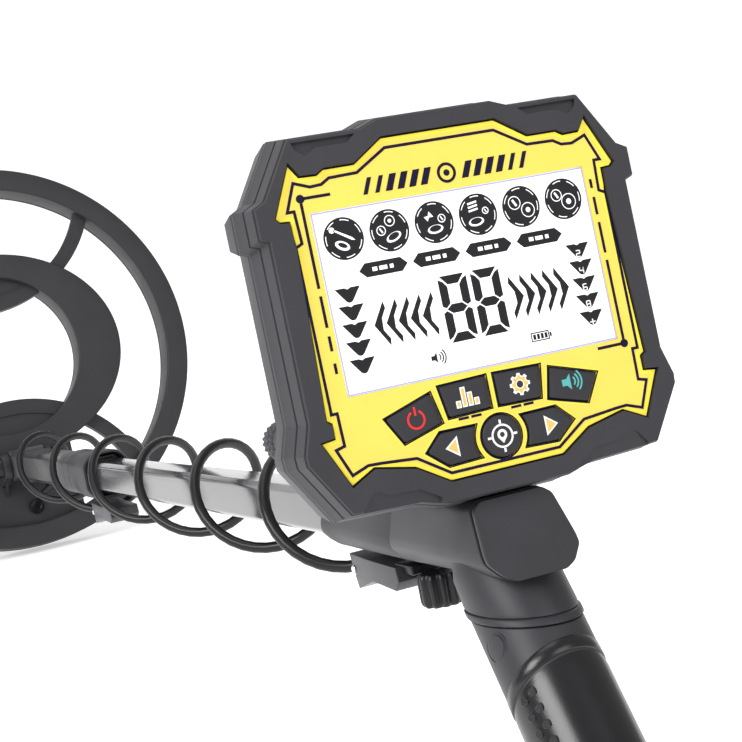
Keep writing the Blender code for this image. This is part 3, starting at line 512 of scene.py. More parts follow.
def cables():
    lead = [on_helix(LAST_TURN), (-0.068, -0.024, 0.008), (-0.079, -0.0285, 0.022),
        (-0.093, -0.035, 0.034), (-0.108, -0.039, 0.0395), (-0.125, -0.04, 0.0405)]
    tail = [(0.6845, -0.0035, -0.0352), (0.677, -0.004, -0.0315), (0.664, -0.0062, -0.025),
        on_helix(-0.4)]
    upper = (helix_run(LOOPS_MEET, LAST_TURN)[:-1] + through(lead, 0.004))[::-1]
    middle = helix_run(-0.1, LOOPS_MEET)[::-1]
    low = (through(tail, 0.004)[:-1] + helix_run(-0.4, -0.1))[::-1]
    runs = [
        ("cable_upper", upper, "cable_stem", ("frame", "lower_rod")),
        ("cable_middle", middle, "cable_rod", None),
        ("cable_lower", low, "cable_tail", ("lower_rod", "search_coil")),
    ]
    for name, route, node, ends in runs:
        world = [STEM @ point for point in route]
        obj = tube_along(name, world, CABLE_R, 20)
        obj.data.materials.append(CABLE)
        shaded(obj, 60.0)
        if ends is None:
            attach(obj, "lower_rod")
        else:
            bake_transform(obj)
        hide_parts(node)


cables()


# ---- control box: case -----------------------------------------------------
# The outlines of the bezel and of the printed film in it.
CASE = mirrored([(0.0187, 0.0507), (0.0245, 0.0486), (0.0477, 0.0486), (0.0578, 0.0322),
    (0.0613, 0.0304), (0.0613, 0.0222), (0.0585, 0.0212), (0.0585, -0.0325), (0.0612, -0.0412),
    (0.061, -0.044), (0.051, -0.06), (0.029, -0.0608), (0.0195, -0.0633)])
FILM = mirrored([(0.0186, 0.0453), (0.0286, 0.0389), (0.0384, 0.0389), (0.0407, 0.0375),
    (0.0464, 0.0377), (0.0489, 0.0414), (0.0556, 0.0271), (0.0546, 0.0261), (0.0514, 0.0259),
    (0.0513, 0.0206), (0.051, 0.0186), (0.053, -0.0325), (0.0515, -0.0335), (0.0515, -0.0383),
    (0.0558, -0.0388), (0.0494, -0.0522), (0.0418, -0.0484), (0.0289, -0.0511), (0.0188, -0.0573)])


# The fittings on the back, as (u, v) in the panel's frame.
JACK = (-0.052, -0.037)
SOCKET = (0.04, -0.038)
BATTERY_V = 0.02
SCREWS = [(-0.044, 0.04), (0.044, 0.04), (-0.044, -0.053), (0.047, -0.053)]


def slab(size, place):
    """A cutting block, turned and placed by a matrix."""
    bpy.ops.mesh.primitive_cube_add(size=1.0)
    obj = bpy.context.object
    obj.data.transform(place @ Matrix.Diagonal((*size, 1.0)))
    return obj


# Low facets in the bezel's face: their right halves, the edge each leans from, and the lean.
FACETS = [([(0.0269, 0.0477), (0.047, 0.0478), (0.0462, 0.0456),
    (0.0433, 0.0436), (0.0397, 0.0455), (0.0298, 0.0455)], 0.0436, radians(14)),
    ([(0.048, -0.06), (0.0441, -0.0555), (0.0419, -0.0557), (0.0397, -0.0571), (0.0295, -0.0576),
    (0.0231, -0.0612), (0.0231, -0.064), (0.048, -0.064)], -0.0555, -radians(16))]


def bezel():
    levels = [(SIDE_FLARE, -BEZEL_DEPTH), (SIDE_FLARE, -0.0128), (0.0024, -0.0112), (0.0017, -0.0068),
        (0.0009, -0.0066), (0.0009, -0.006), (0.0015, -0.0058), (0.0008, -0.0004), (0.0001, -0.0002),
        (0.0001, 0.0002), (0.0005, 0.0004), (0.0003, BEZEL_RISE - 0.0002), (0.0001, BEZEL_RISE)]
    obj = lofted("bezel_frame", [(grown(CASE, out) if out else CASE, height) for out, height in levels])
    facets = []
    for points, edge, lean in FACETS:
        for side in (-1, 1):
            outline = [(side * x, y - edge) for x, y in points]
            facet = plate("facet_cut", [outline], 0.0, 0.006)
            turn = move(0, edge, BEZEL_RISE - 0.0003) @ about("X", -lean)
            facet.data.transform(turn)
            facets.append(facet)
    window = plate("window_cut", [grown(FILM, 0.0006)], -0.0022, 0.004)
    well = plate("well_cut", [mirrored([(0.049, 0.035), (0.049, -0.046), (0.04, -0.047),
        (0.0284, -0.0504), (0.0182, -0.0566)])], -0.02, 0.004)
    carved(obj, *facets, window, well)
    soften(obj, 0.00012, 1, 24.0)
    applied(obj)
    piece(obj, "frame", CHARCOAL, PANEL, ["bezel"], 14.0)


def case_back():
    sections = [(scaled(CASE, 0.915), -BOX_DEPTH), (scaled(CASE, 0.945), -BOX_DEPTH + 0.0012),
        (scaled(CASE, 1.018), -BOX_DEPTH + 0.006), (grown(CASE, SIDE_FLARE), -BEZEL_DEPTH - 0.0016),
        (grown(CASE, SIDE_FLARE - 0.0005), -BEZEL_DEPTH - GAP)]
    obj = lofted("case_shell", sections)
    hollow = lofted("hollow", [(scaled(CASE, 0.89), -BOX_DEPTH + 0.0025),
        (scaled(CASE, 0.965), -BOX_DEPTH + 0.007), (scaled(CASE, 0.985), -BEZEL_DEPTH + 0.001)])
    carved(obj, hollow)
    for place, radius, depth in ((JACK, 0.0058, 0.009), (SOCKET, 0.0062, 0.01)):
        boss = turned("boss", [(0.0, 0.0), (radius + 0.0008, 0.0), (radius, -0.0016), (radius, -depth),
            (0.0, -depth)], 40)
        boss.data.transform(move(*place, -BOX_DEPTH + 0.003))
        carved(obj, boss, operation="UNION")
    cuts = [slab((0.0484, 0.0344, 0.008), move(0, BATTERY_V, -BOX_DEPTH))]
    for place in SCREWS:
        well = turned("well", [(0.0, 0.002), (0.0031, 0.002), (0.0031, -0.002), (0.0, -0.002)], 32)
        well.data.transform(move(*place, -BOX_DEPTH))
        cuts.append(well)
    for k in range(7):
        groove = slab((0.0012, 0.018, 0.0012), move(0.037 + (k - 3) * 0.0026, -0.012, -BOX_DEPTH))
        cuts.append(groove)
    carved(obj, *cuts)
    soften(obj, 0.0004, 2, 26.0)
    applied(obj)
    piece(obj, "frame", CHARCOAL, PANEL, ["back_shell"], 40.0)


# ---- control box: display and print ----------------------------------------
WINDOW = (0.09, 0.0538)
SKIN = 0.0008
INK_RISE = 0.00006                # how far print stands on the film
KEY_RISE = 0.0007
KEY_SLIT = 0.0004                 # between a key and the film round it
SCREEN_FACE = -0.00005
DEPTH_STEP = 0.00525              # between the depth marks beside the figures


def key_outlines():
    """Each key's outline round its own centre, with the centre."""
    power = [(-0.0087, 0.0013), (0.0064, 0.0059), (0.0084, -0.003), (-0.0042, -0.0065)]
    bars = [(-0.0077, 0.0042), (0.0076, 0.0046), (0.0076, -0.0047), (-0.0062, -0.0051)]
    bite = circle(0.0092, 9, (0.0157, 0), radians(150), radians(210))
    arrow = [(-0.0086, 0.0), (-0.0036, 0.0048), *bite, (-0.0026, -0.005)]
    return {
        "key_power": (power, (-0.0265, -0.0371)),
        "key_sensitivity": (bars, (-0.0091, -0.0341)),
        "key_mode": (flipped(bars), (0.0091, -0.0341)),
        "key_volume": (flipped(power), (0.0265, -0.0371)),
        "key_left": (arrow, (-0.0157, -0.048)),
        "key_pinpoint": (circle(0.0063, 40), (0.0, -0.048)),
        "key_right": (flipped(arrow), (0.0157, -0.048)),
    }


KEYS = key_outlines()


def joined(name, parts):
    """Several meshes as one object."""
    work = bmesh.new()
    for part in parts:
        work.from_mesh(part.data)
        mesh = part.data
        bpy.data.objects.remove(part)
        bpy.data.meshes.remove(mesh)
    return object_of(name, work)


def marks(name, groups, low, high):
    """Flat marks as one object; each group is an outline with its holes, or a lone outline."""
    parts = []
    for index, group in enumerate(groups):
        loops = group if isinstance(group[0], list) else [group]
        parts.append(plate(f"{name}_{index}", loops, low, high))
    return joined(name, parts)


def round_key(loop, place, reach=KEY_SLIT):
    """A key's outline grown by `reach`, where it stands on the panel."""
    return shifted(grown(clockwise(loop), reach), place)


def film():
    holes = [round_key(*key) for key in KEYS.values()]
    window = rectangle(WINDOW[0] + 2 * GAP, WINDOW[1] + 2 * GAP)
    obj = plate("panel_film", [FILM, window, *holes], -SKIN, 0.0)
    piece(obj, "frame", YELLOW, PANEL, ["panel_overlay"], 30.0)
    edge = plate("film_edge_line", [FILM, grown(FILM, -0.0011)], 0.0, INK_RISE)
    piece(edge, "frame", EDGE_YELLOW, PANEL)
    halos = [[rounded(round_key(*key, 0.0013), 0.0016), round_key(*key)] for key in KEYS.values()]
    piece(marks("key_halos", halos, 0.0, INK_RISE), "frame", EDGE_YELLOW, PANEL)


def border_line():
    """The navy line that follows the film's edge, as its centre line."""
    half = [(0.018, 0.0425), (0.0282, 0.0366), (0.0371, 0.0364), (0.0398, 0.0349), (0.0434, 0.0347),
        (0.0483, 0.0365), (0.0518, 0.0284), (0.0497, 0.0284), (0.0493, 0.019), (0.0514, 0.018),
        (0.0513, -0.031), (0.0495, -0.031), (0.0493, -0.0406), (0.0521, -0.0413), (0.0487, -0.0494),
        (0.0434, -0.0476), (0.0394, -0.0478), (0.0281, -0.0488), (0.0182, -0.0553)]
    line = mirrored(half)
    return [grown(line, 0.00045), grown(line, -0.00045)]


def circuit_lines():
    width, side = 0.0009, 0.0471
    made = []
    left = [(0.0304, 0.0053), (0.0031, -0.0062), (-0.0087, -0.0131), (-0.0167, -0.0198)]
    right = [(-0.0275, -0.0026), (-0.0003, 0.0093), (0.0117, 0.0172), (0.02, 0.0228)]
    for sign, height, runs in ((-1, 0.0317, left), (1, -0.0288, right)):
        dot = (sign * side, height)
        made.append(circle(0.0013, 24, dot))
        made.append(ribbon([(dot[0] - sign * 0.0008, dot[1]), (dot[0] - sign * 0.0094, dot[1])], width))
        made += [ribbon([(sign * side, a), (sign * side, b)], width) for a, b in runs]
    return made


def title_marks():
    """A generic band of slanted marks and a small coil symbol, where a title would be printed."""
    made = []
    lean = 0.0011
    for sign in (-1, 1):
        for k in range(6):
            x = sign * (0.0068 + k * 0.0038)
            width = 0.0011 if k < 4 else 0.0007
            made.append([(x - width - lean, 0.0298), (x + width - lean, 0.0298),
                (x + width + lean, 0.0347), (x - width + lean, 0.0347)])
    made.append([circle(0.0031, 32, (0, 0.0322)), circle(0.0022, 32, (0, 0.0322))])
    made.append(circle(0.001, 20, (0, 0.0322)))
    return made


def underlines():
    """Plain dashes where two keys carry a word."""
    made = []
    for side in (-1, 1):
        made += [rectangle(0.0034, 0.0008, (side * (0.0088 + k * 0.0021) - side * 0.0021, -0.0404))
            for k in (0, 2)]
    return made


def print_navy():
    groups = [border_line(), *circuit_lines(), *title_marks(), *underlines()]
    piece(marks("panel_print", groups, 0.0, INK_RISE * 1.5), "frame", NAVY, PANEL)
    rims = [[round_key(*key, 0.0008), round_key(*key)] for key in KEYS.values()]
    piece(marks("key_rims", rims, 0.0, INK_RISE * 1.4), "frame", NAVY, PANEL)


def seven_segment(centre, width, height, bar):
    """The seven bars of one figure, with slanting gaps between them."""
    gap = 0.0003
    left, right, top = -width / 2, width / 2, height / 2
    flat = [(left + gap + 0.0004, top), (right - gap - 0.0004, top), (right - bar - gap, top - bar),
        (left + bar + gap, top - bar)]
    upright = [(left, top - gap - 0.0006), (left + bar * 0.55, top - gap - 0.0006 - bar * 0.3),
        (left + bar, top - bar - gap * 2), (left + bar, bar * 0.5 + gap),
        (left + bar * 0.45, gap * 1.4), (left, gap * 1.4 + 0.0006)]
    middle = [(left + bar * 0.5, 0.0), (left + bar + gap, bar / 2), (right - bar - gap, bar / 2),
        (right - bar * 0.5, 0.0), (right - bar - gap, -bar / 2), (left + bar + gap, -bar / 2)]
    loops = [flat, squashed(flat, -1), middle, upright, flipped(upright), squashed(upright, -1),
        scaled(upright, -1)]
    return [shifted(loop, centre) for loop in loops]


def coin(centre, radius, mark):
    """A coin as a white ring on the ink, with a plain mark inside."""
    loops = [circle(radius, 28, centre), circle(radius - 0.0003, 28, centre)]
    if mark == "dot":
        loops.append(circle(radius * 0.35, 16, centre))
    if mark == "bar":
        loops.append(turned_to(rectangle(radius * 0.36, radius * 1.1), 0.5, centre))
    return loops


def turned_to(loop, angle, centre):
    return shifted(turned_by(loop, angle), centre)


def badge(centre, number):
    """A round icon with a dashed rim, showing a nail and pull tab, coins, a bow, a tag or rings."""
    radius = 0.0063
    loops = [circle(radius, 48, centre)]
    for k in range(7):
        start = 2 * pi * (k + 0.2 + 0.1 * number) / 7
        loops.append(arc_band(radius - 0.0006, radius - 0.0009, 7, centre, start, start + 0.52))
    x, y = centre
    if number == 0:
        loops.append(turned_to([(-0.0034, 0.0004), (0.0026, 0.0004), (0.0038, 0.0), (0.0026, -0.0004),
            (-0.0034, -0.0004)], -0.55, (x + 0.0003, y + 0.001)))
        loops.append(circle(0.0009, 20, (x - 0.0032, y + 0.0029)))
        tab, slot = squashed(circle(0.0024, 26), 0.55), squashed(circle(0.0015, 22), 0.45)
        loops.append(turned_to(tab, -0.45, (x - 0.0008, y - 0.002)))
        loops.append(turned_to(slot, -0.45, (x - 0.0007, y - 0.0019)))
    if number in (1, 2, 3):
        loops += coin((x - 0.0026, y + 0.0003) if number == 1 else (x + 0.0026, y + 0.0008),
            0.0017 - 0.0002 * number, "bar")
        for size, drop in ((0.0026, 0.0021), (0.0019, 0.0019)):
            loops.append(turned_to(squashed(circle(size, 26), 0.5), 0.35 if number == 1 else 0.08,
                (x + 0.001 * (2 - number), y - drop)))
    if number == 1:
        loops += coin((x + 0.0006, y + 0.0028), 0.0017, "dot")
    if number == 2:
        loops.append(turned_to([(-0.0012, 0.0009), (0.0, 0.0003), (0.0012, 0.0011), (0.0012, -0.0011),
            (0.0, -0.0003), (-0.0012, -0.0009)], 0.6, (x - 0.0015, y + 0.0019)))
    if number == 3:
        for k in range(3):
            loops.append(turned_to(rectangle(0.0032, 0.0006), 0.15,
                (x - 0.0013, y + 0.0015 + k * 0.0011)))
    if number == 4:
        loops += coin((x - 0.002, y + 0.0014), 0.0021, "bar")
        loops += coin((x + 0.0021, y - 0.0013), 0.0023, "dot")
    if number == 5:
        loops += coin((x - 0.0021, y + 0.0014), 0.0019, "bar")
        loops += coin((x + 0.0017, y - 0.001), 0.0025, "dot")
    return loops


def chevron(tip, side):
    """One of the arrow strokes beside the figures, its point towards `side`."""
    half = 0.0066
    shape = [(0.0, 0.0), (-0.004, half), (-0.0044, half - 0.0021), (-0.0028, 0.0018),
        (-0.0026, -0.0018), (-0.0043, -half + 0.0021), (-0.004, -half)]
    return [(tip[0] + side * x, tip[1] + y) for x, y in shape]


def triangle(centre):
    shape = [(-0.004, 0.0022), (-0.001, 0.0022), (0.0, 0.0017), (0.001, 0.0022), (0.004, 0.0022),
        (0.001, -0.0018), (0.0004, -0.0022), (-0.0004, -0.0022), (-0.001, -0.0018)]
    return shifted(shape, centre)


def sound_waves(centre, size, count):
    made = []
    for k in range(count):
        reach = size * (0.45 + 0.28 * k)
        made.append(arc_band(reach, reach - size * 0.13, 12, centre, -0.85, 0.85))
    return made


def horn(centre, size):
    x, y = centre
    return [(x - size, y + size * 0.35), (x - size * 0.45, y + size * 0.35), (x, y + size * 0.85),
        (x, y - size * 0.85), (x - size * 0.45, y - size * 0.35), (x - size, y - size * 0.35)]


# The depth marks' figures, each as one stroke on a grid of three rows.
FIGURES = {
    "2": [(-1, 1), (1, 1), (1, 0), (-1, 0), (-1, -1), (1, -1)],
    "4": [(-1, 1), (-1, 0), (1, 0), (1, 1), (1, -1)],
    "6": [(1, 1), (-1, 1), (-1, -1), (1, -1), (1, 0), (-1, 0)],
    "8": [(-1, 0), (1, 0), (1, 1), (-1, 1), (-1, -1), (1, -1), (1, 0)],
}


def display():
    screen = plate("display_screen", [rounded(rectangle(*WINDOW), 0.0008)], -SKIN, SCREEN_FACE)
    piece(screen, "frame", SCREEN, PANEL, ["lcd_window"], 30.0)
    rim = [rectangle(*WINDOW), rectangle(WINDOW[0] - 0.0009, WINDOW[1] - 0.0009)]
    piece(plate("display_rim", rim, SCREEN_FACE, 0.00004), "frame", RIM, PANEL)
    loops = []
    for k in range(6):
        loops += badge((-0.0364 + k * 0.0146, 0.0183), k)
    for k in range(4):
        x = -0.026 + k * 0.0173
        loops.append([(x - 0.0078, 0.008), (x - 0.0057, 0.0101), (x + 0.0057, 0.0101),
            (x + 0.0078, 0.008), (x + 0.0057, 0.0059), (x - 0.0057, 0.0059)])
        for i, width in enumerate((0.0016, 0.0026, 0.0012)):
            loops.append(rectangle(width, 0.0012, (x - 0.0028 + i * 0.0027, 0.008)))
    for k in range(5):
        height = 0.0019 - k * DEPTH_STEP
        loops += [triangle((-0.0385, height)), triangle((0.038, height))]
        loops += [chevron((-0.0326 + k * 0.0039, -0.0083), -1),
            chevron((0.0168 + k * 0.0039, -0.0083), 1)]
    for x in (-0.0054, 0.0054):
        loops += seven_segment((x, -0.0079), 0.0094, 0.02, 0.0027)
    loops += [horn((-0.0152, -0.0212), 0.0019), *sound_waves((-0.0152, -0.0212), 0.003, 3)]
    x, y = 0.0194, -0.0213
    loops += [rectangle(0.0062, 0.0028, (x, y)), rectangle(0.0055, 0.0021, (x, y)),
        rectangle(0.0006, 0.0013, (x + 0.0036, y))]
    loops += [rectangle(0.0009, 0.0016, (x - 0.0019 + k * 0.0013, y)) for k in range(4)]
    piece(plate("display_symbols", loops, SCREEN_FACE, 0.00001), "frame", INK, PANEL)
    figures = []
    for k, figure in enumerate(("2", "4", "6", "8")):
        centre = (0.0378, 0.001 - k * DEPTH_STEP)
        line = [(centre[0] + x * 0.00062, centre[1] + y * 0.00095) for x, y in FIGURES[figure]]
        figures += [ribbon([a, b], 0.00034) for a, b in zip(line, line[1:])]
    centre = (0.038, 0.0007 - 4 * DEPTH_STEP)
    figures += [rectangle(0.0018, 0.0004, centre), rectangle(0.0004, 0.0018, centre)]
    piece(marks("depth_marks", figures, 0.00001, 0.00003), "frame", WHITE, PANEL)


# ---- keys ------------------------------------------------------------------
def key_cap(name, loop, centre):
    """A soft key: rounded in plan, with a low crown and a rolled edge."""
    loop = rounded(anticlockwise(loop), 0.0009, 4)
    top = KEY_RISE
    obj = lofted(name + "_cap", [(loop, -0.003), (loop, top - 0.00035),
        (scaled(loop, 0.955), top - 0.00008), (scaled(loop, 0.8), top)])
    piece(obj, name, KEY, PANEL @ move(*centre, 0), [name], 50.0)


def icon(name, key, loops, material, level=0):
    """Print on a key."""
    centre = KEYS[key][1]
    low = KEY_RISE + level * 0.00004 + 0.00001
    obj = plate(name, loops, low, low + 0.00005)
    piece(obj, key, material, PANEL @ move(*centre, 0))


def gear_outline(radius, teeth):
    made = []
    for k in range(teeth):
        for part, reach in ((-0.3, 0.78), (-0.2, 1.0), (0.2, 1.0), (0.3, 0.78)):
            a = 2 * pi * (k + part) / teeth
            made.append((radius * reach * cos(a), radius * reach * sin(a)))
    return made


def keys():
    for name, (loop, centre) in KEYS.items():
        key_cap(name, loop, centre)
    ring = arc_band(0.0029, 0.0023, 30, (0.0, 0.0), radians(118), radians(422))
    icon("icon_power", "key_power",
        [shifted(ring, (0.0004, -0.0006)), rectangle(0.0006, 0.0026, (0.0004, 0.0019))], RED)
    white, orange = [], []
    for k, height in enumerate((0.0018, 0.0056, 0.0038, 0.0018)):
        x = -0.0027 + k * 0.002
        white.append(rectangle(0.00165, height + 0.0004, (x, -0.0029 + height / 2)))
        orange.append(rectangle(0.0009, height - 0.0004, (x, -0.0029 + height / 2)))
    icon("icon_bars_white", "key_sensitivity", white, WHITE)
    icon("icon_bars", "key_sensitivity", orange, ORANGE, 1)
    icon("icon_gear_white", "key_mode", [gear_outline(0.0034, 8), circle(0.0011, 24)], WHITE)
    icon("icon_gear", "key_mode", [gear_outline(0.0027, 8), circle(0.0014, 24)], ORANGE, 1)
    icon("icon_volume", "key_volume",
        [horn((-0.0006, 0.0004), 0.0029), *sound_waves((-0.0006, 0.0004), 0.004, 3)], TEAL)
    for side, key in ((-1, "key_left"), (1, "key_right")):
        arrow = [(side * 0.0032, 0.0), (-side * 0.0011, 0.0031), (-side * 0.0011, -0.0031)]
        small = [(side * 0.0024, 0.0), (-side * 0.0006, 0.0022), (-side * 0.0006, -0.0022)]
        icon(f"icon_arrow_white_{key}", key, [arrow], WHITE)
        icon(f"icon_arrow_{key}", key, [small], ORANGE, 1)
    target = [circle(0.0036, 36), circle(0.003, 36)]
    for k in range(4):
        target.append(turned_to(rectangle(0.0012, 0.0007, (0.0043, 0)), k * pi / 2, (0, 0)))
    drop = circle(0.0016, 20, (0, 0.0004), radians(-30), radians(210)) + [(0.0, -0.0022)]
    target += [drop, circle(0.0008, 20, (0, 0.0004))]
    icon("icon_target", "key_pinpoint", target, WHITE)


bezel()
case_back()
film()
print_navy()
display()
keys()


# ---- shapes shared by the mechanical pieces --------------------------------
TUBE_SIZE, TUBE_WALL, TUBE_START, TUBE_END = 0.0182, 0.0013, -0.148, 0.48
ROD_SIZE, ROD_START, ROD_END = 0.0214, 0.3925, 0.628
COLLAR_START, COLLAR_END = 0.381, 0.471
REAR_Z, REAR_START, REAR_END = -0.125, -0.2763, -0.55
FOOT_X = -0.465
ALONG_STEM = STEM @ about("Y", pi / 2)          # an outline's height runs along the stem
ALONG_REAR = STEM @ move(0, 0, REAR_Z) @ about("Y", pi / 2)
ARMREST = STEM @ move(FOOT_X, 0, REAR_Z)
PIVOT = STEM @ move(PIVOT_X, 0, 0) @ about("Y", -COIL_ANGLE)


def octagon(width, chamfer, height=None):
    a, b, c = width / 2, (height or width) / 2, chamfer
    return [(a, b - c), (a - c, b), (c - a, b), (-a, b - c), (-a, c - b), (c - a, -b), (a - c, -b),
        (a, c - b)]


def refined(node, body, material, width, angle=35.0):
    """A CAD piece's own shape, its flat faces made whole and its edges rounded."""
    mesh = NODES[node].data.copy()
    work = bmesh.new()
    work.from_mesh(mesh)
    bmesh.ops.remove_doubles(work, verts=work.verts, dist=0.000002)
    bmesh.ops.dissolve_limit(work, angle_limit=radians(0.8), verts=work.verts, edges=work.edges)
    work.to_mesh(mesh)
    work.free()
    obj = linked(node + "_body", mesh)
    soften(obj, width, 3, angle)
    obj.modifiers["bevel"].use_clamp_overlap = True
    applied(obj)
    return piece(obj, body, material, None, [node], 40.0)


def knurled(name, radius, depth, ribs, levels, sharp=1.0):
    """A grip knob: a lobed outline through (scale, height) levels."""
    loop = []
    count = ribs * 12
    for k in range(count):
        a = 2 * pi * k / count
        reach = radius - depth * (0.5 - 0.5 * cos(ribs * a)) ** sharp
        loop.append((reach * cos(a), reach * sin(a)))
    return lofted(name, [(scaled(loop, scale), height) for scale, height in levels])


def ring_between(name, outer, inner, low, high, edge):
    """A flat ring between two outlines of equal count, with its four edges rounded."""
    outer, inner = clockwise(outer), clockwise(inner)
    start = min(range(len(inner)), key=lambda i: (Vector(inner[i]) - Vector(outer[0])).length)
    inner = inner[start:] + inner[:start]
    quarter = [pi / 2 * k / 4 for k in range(5)]
    rows = [(grown(outer, -edge * (1 - sin(a))), low + edge * (1 - cos(a))) for a in quarter]
    rows += [(grown(outer, -edge * (1 - cos(a))), high - edge * (1 - sin(a))) for a in quarter]
    rows += [(grown(inner, edge * (1 - sin(a))), high - edge * (1 - cos(a))) for a in quarter]
    rows += [(grown(inner, edge * (1 - cos(a))), low + edge * (1 - sin(a))) for a in quarter]
    work = bmesh.new()
    rings = [[work.verts.new((x, y, height)) for x, y in loop] for loop, height in rows]
    skin(work, rings + rings[:1])
    return finished(name, work)


# ---- stem ------------------------------------------------------------------
def square_tube(name, size, wall, start, end, chamfer=0.0022):
    outside = rounded(octagon(size, chamfer), 0.0008, 3)
    inside = rounded(octagon(size - 2 * wall, chamfer * 0.7), 0.0008, 3)
    return plate(name, [outside, inside], start, end)


def cam_lever(name, node, pin, body, lever_body, place, reach, widths):
    """A winged cam lever on its cross pin, with thumb ridges under its tail."""
    lever = refined(node, lever_body, SATIN, 0.0006, 30.0)
    frame_at = STEM @ Matrix.Translation(place)
    low = -0.006
    for vertex in lever.data.vertices:
        local = frame_at.inverted() @ vertex.co
        if local.z < low:
            local.z = low + (local.z - low) * 0.3
            vertex.co = frame_at @ local
    left, right = widths
    ridges = []
    for k in range(4):
        x = -(0.024 + k * 0.004) * reach
        rib = slab((0.0012, (left + right) * 0.8, 0.001), move(x, (left - right) / 2, -0.004))
        ridges.append(applied(soften(rib, 0.0003, 2)))
    piece(joined(name + "_ridges", ridges), lever_body, SATIN, frame_at)
    reach_y = left + right + 0.0012
    shaft = turned(name + "_pin",
        [(0.0, reach_y / 2), (0.0012, reach_y / 2), (0.0016, reach_y / 2 - 0.0004),
        (0.0016, 0.0004 - reach_y / 2), (0.0012, -reach_y / 2), (0.0, -reach_y / 2)], 32)
    turn = frame_at @ move(0, (left - right) / 2, 0) @ about("X", pi / 2)
    piece(shaft, body, STEEL, turn, [pin])


def stem():
    piece(square_tube("stem_tube", TUBE_SIZE, TUBE_WALL, TUBE_START, TUBE_END), "frame", TUBE,
        ALONG_STEM, ["upper_tube"], 28.0)
    cam_lever("clamp_cam", "clamp_lever", "clamp_pin", "frame", "clamp_lever", (-0.0705, 0, -0.019),
        1.0, (0.011, 0.009))
    grip = knurled("clamp_grip", 0.0078, 0.0012, 11, [(0.55, 0.0), (0.9, -0.0001), (0.97, -0.0008),
        (1.0, -0.002), (1.0, -0.0092), (0.96, -0.0104), (0.86, -0.0112)], 1.6)
    piece(grip, "clamp_knob", BLACK, STEM @ move(-0.129, 0.002, -0.0168),
        ["clamp_knob"], 30.0)
    # A black block under the housing between the cam lever and the knob: partly a real part, partly
    # painted shade standing for the dark slot there.
    bar = slab((0.015, 0.015, 0.0034), move(-0.1135, 0.001, -0.016))
    applied(soften(bar, 0.0008, 3))
    piece(bar, "frame", BLACK, STEM)


def lower_rod():
    piece(square_tube("rod_tube", ROD_SIZE, (ROD_SIZE - TUBE_SIZE) / 2 - GAP, ROD_START, ROD_END,
        0.0026), "lower_rod", ROD, ALONG_STEM, ["lower_tube"], 28.0)
    length = COLLAR_END - COLLAR_START
    wide, slim = rounded(octagon(0.029, 0.0062), 0.003, 4), rounded(octagon(0.0262, 0.005), 0.0024, 4)
    levels = [(scaled(wide, 0.975), 0.0), (wide, 0.0008), (wide, 0.033), (scaled(wide, 0.985), 0.0345),
        (scaled(slim, 1.01), 0.0398), (slim, 0.0412), (slim, length - 0.001),
        (scaled(slim, 0.965), length)]
    collar = lofted("collar_body", levels)
    mouth = plate("mouth", [rounded(octagon(0.026, 0.005), 0.0034, 4)], -0.001, 0.02)
    bore = plate("bore", [octagon(ROD_SIZE + 2 * GAP, 0.0026)], 0.019, length + 0.01)
    carved(collar, mouth, bore)
    for k in range(2):
        groove = ring_between("groove", octagon(0.04, 0.006), octagon(0.0254, 0.005), 0.056 + k * 0.018,
            0.0568 + k * 0.018, 0.0001)
        carved(collar, groove)
    piece(collar, "lower_rod", HOUSING, ALONG_STEM @ move(0, 0, COLLAR_START),
        ["lock_collar"], 30.0)
    cam_lever("lock_cam", "lock_lever", "lock_pin", "lower_rod", "lock_lever",
        (COLLAR_START + 0.011, 0, -0.022), 1.16, (0.011, 0.006))
    refined("coil_yoke", "lower_rod", HOUSING, 0.0008, 30.0)


# ---- housing and handle ----------------------------------------------------
HANDLE_R = 0.016
NECK_END, RING_END, GRIP_END = 0.017, 0.02, 0.112
HOUSING_BACK, HOUSING_SLANT = -0.1955, 0.516
REAR = (0.0122, 0.0011, 0.0018)    # the section's top, corners and extra width at the rear end


def housing_section(scale=1.0, top=0.011, corner=0.0024, wide=0.0):
    """The housing's six-sided section as (-z, y), its corners rounded."""
    half = [(top, 0.009 + wide), (top - 0.0022, 0.0122 + wide * 0.8), (-0.003, 0.0157),
        (-0.006, 0.0157), (-0.0105, 0.012), (-0.0122, 0.0085)]
    loop = half + [(z, -y) for z, y in reversed(half)]
    return rounded([(-z * scale, y * scale) for z, y in loop], corner, 4)


def slanted(obj, limit, extra=0.0):
    for vertex in obj.data.vertices:
        if vertex.co.z < limit:
            vertex.co.z += -vertex.co.x * HOUSING_SLANT + extra


def sloped(obj, start, low=-0.026):
    """Leans the seam under the neck, so that it is higher at the front of the handle."""
    for vertex in obj.data.vertices:
        if low < vertex.co.z < start:
            vertex.co.z += 0.0045 + (0.0012 * vertex.co.y + 0.0119 * vertex.co.x) / HANDLE_R
    return obj


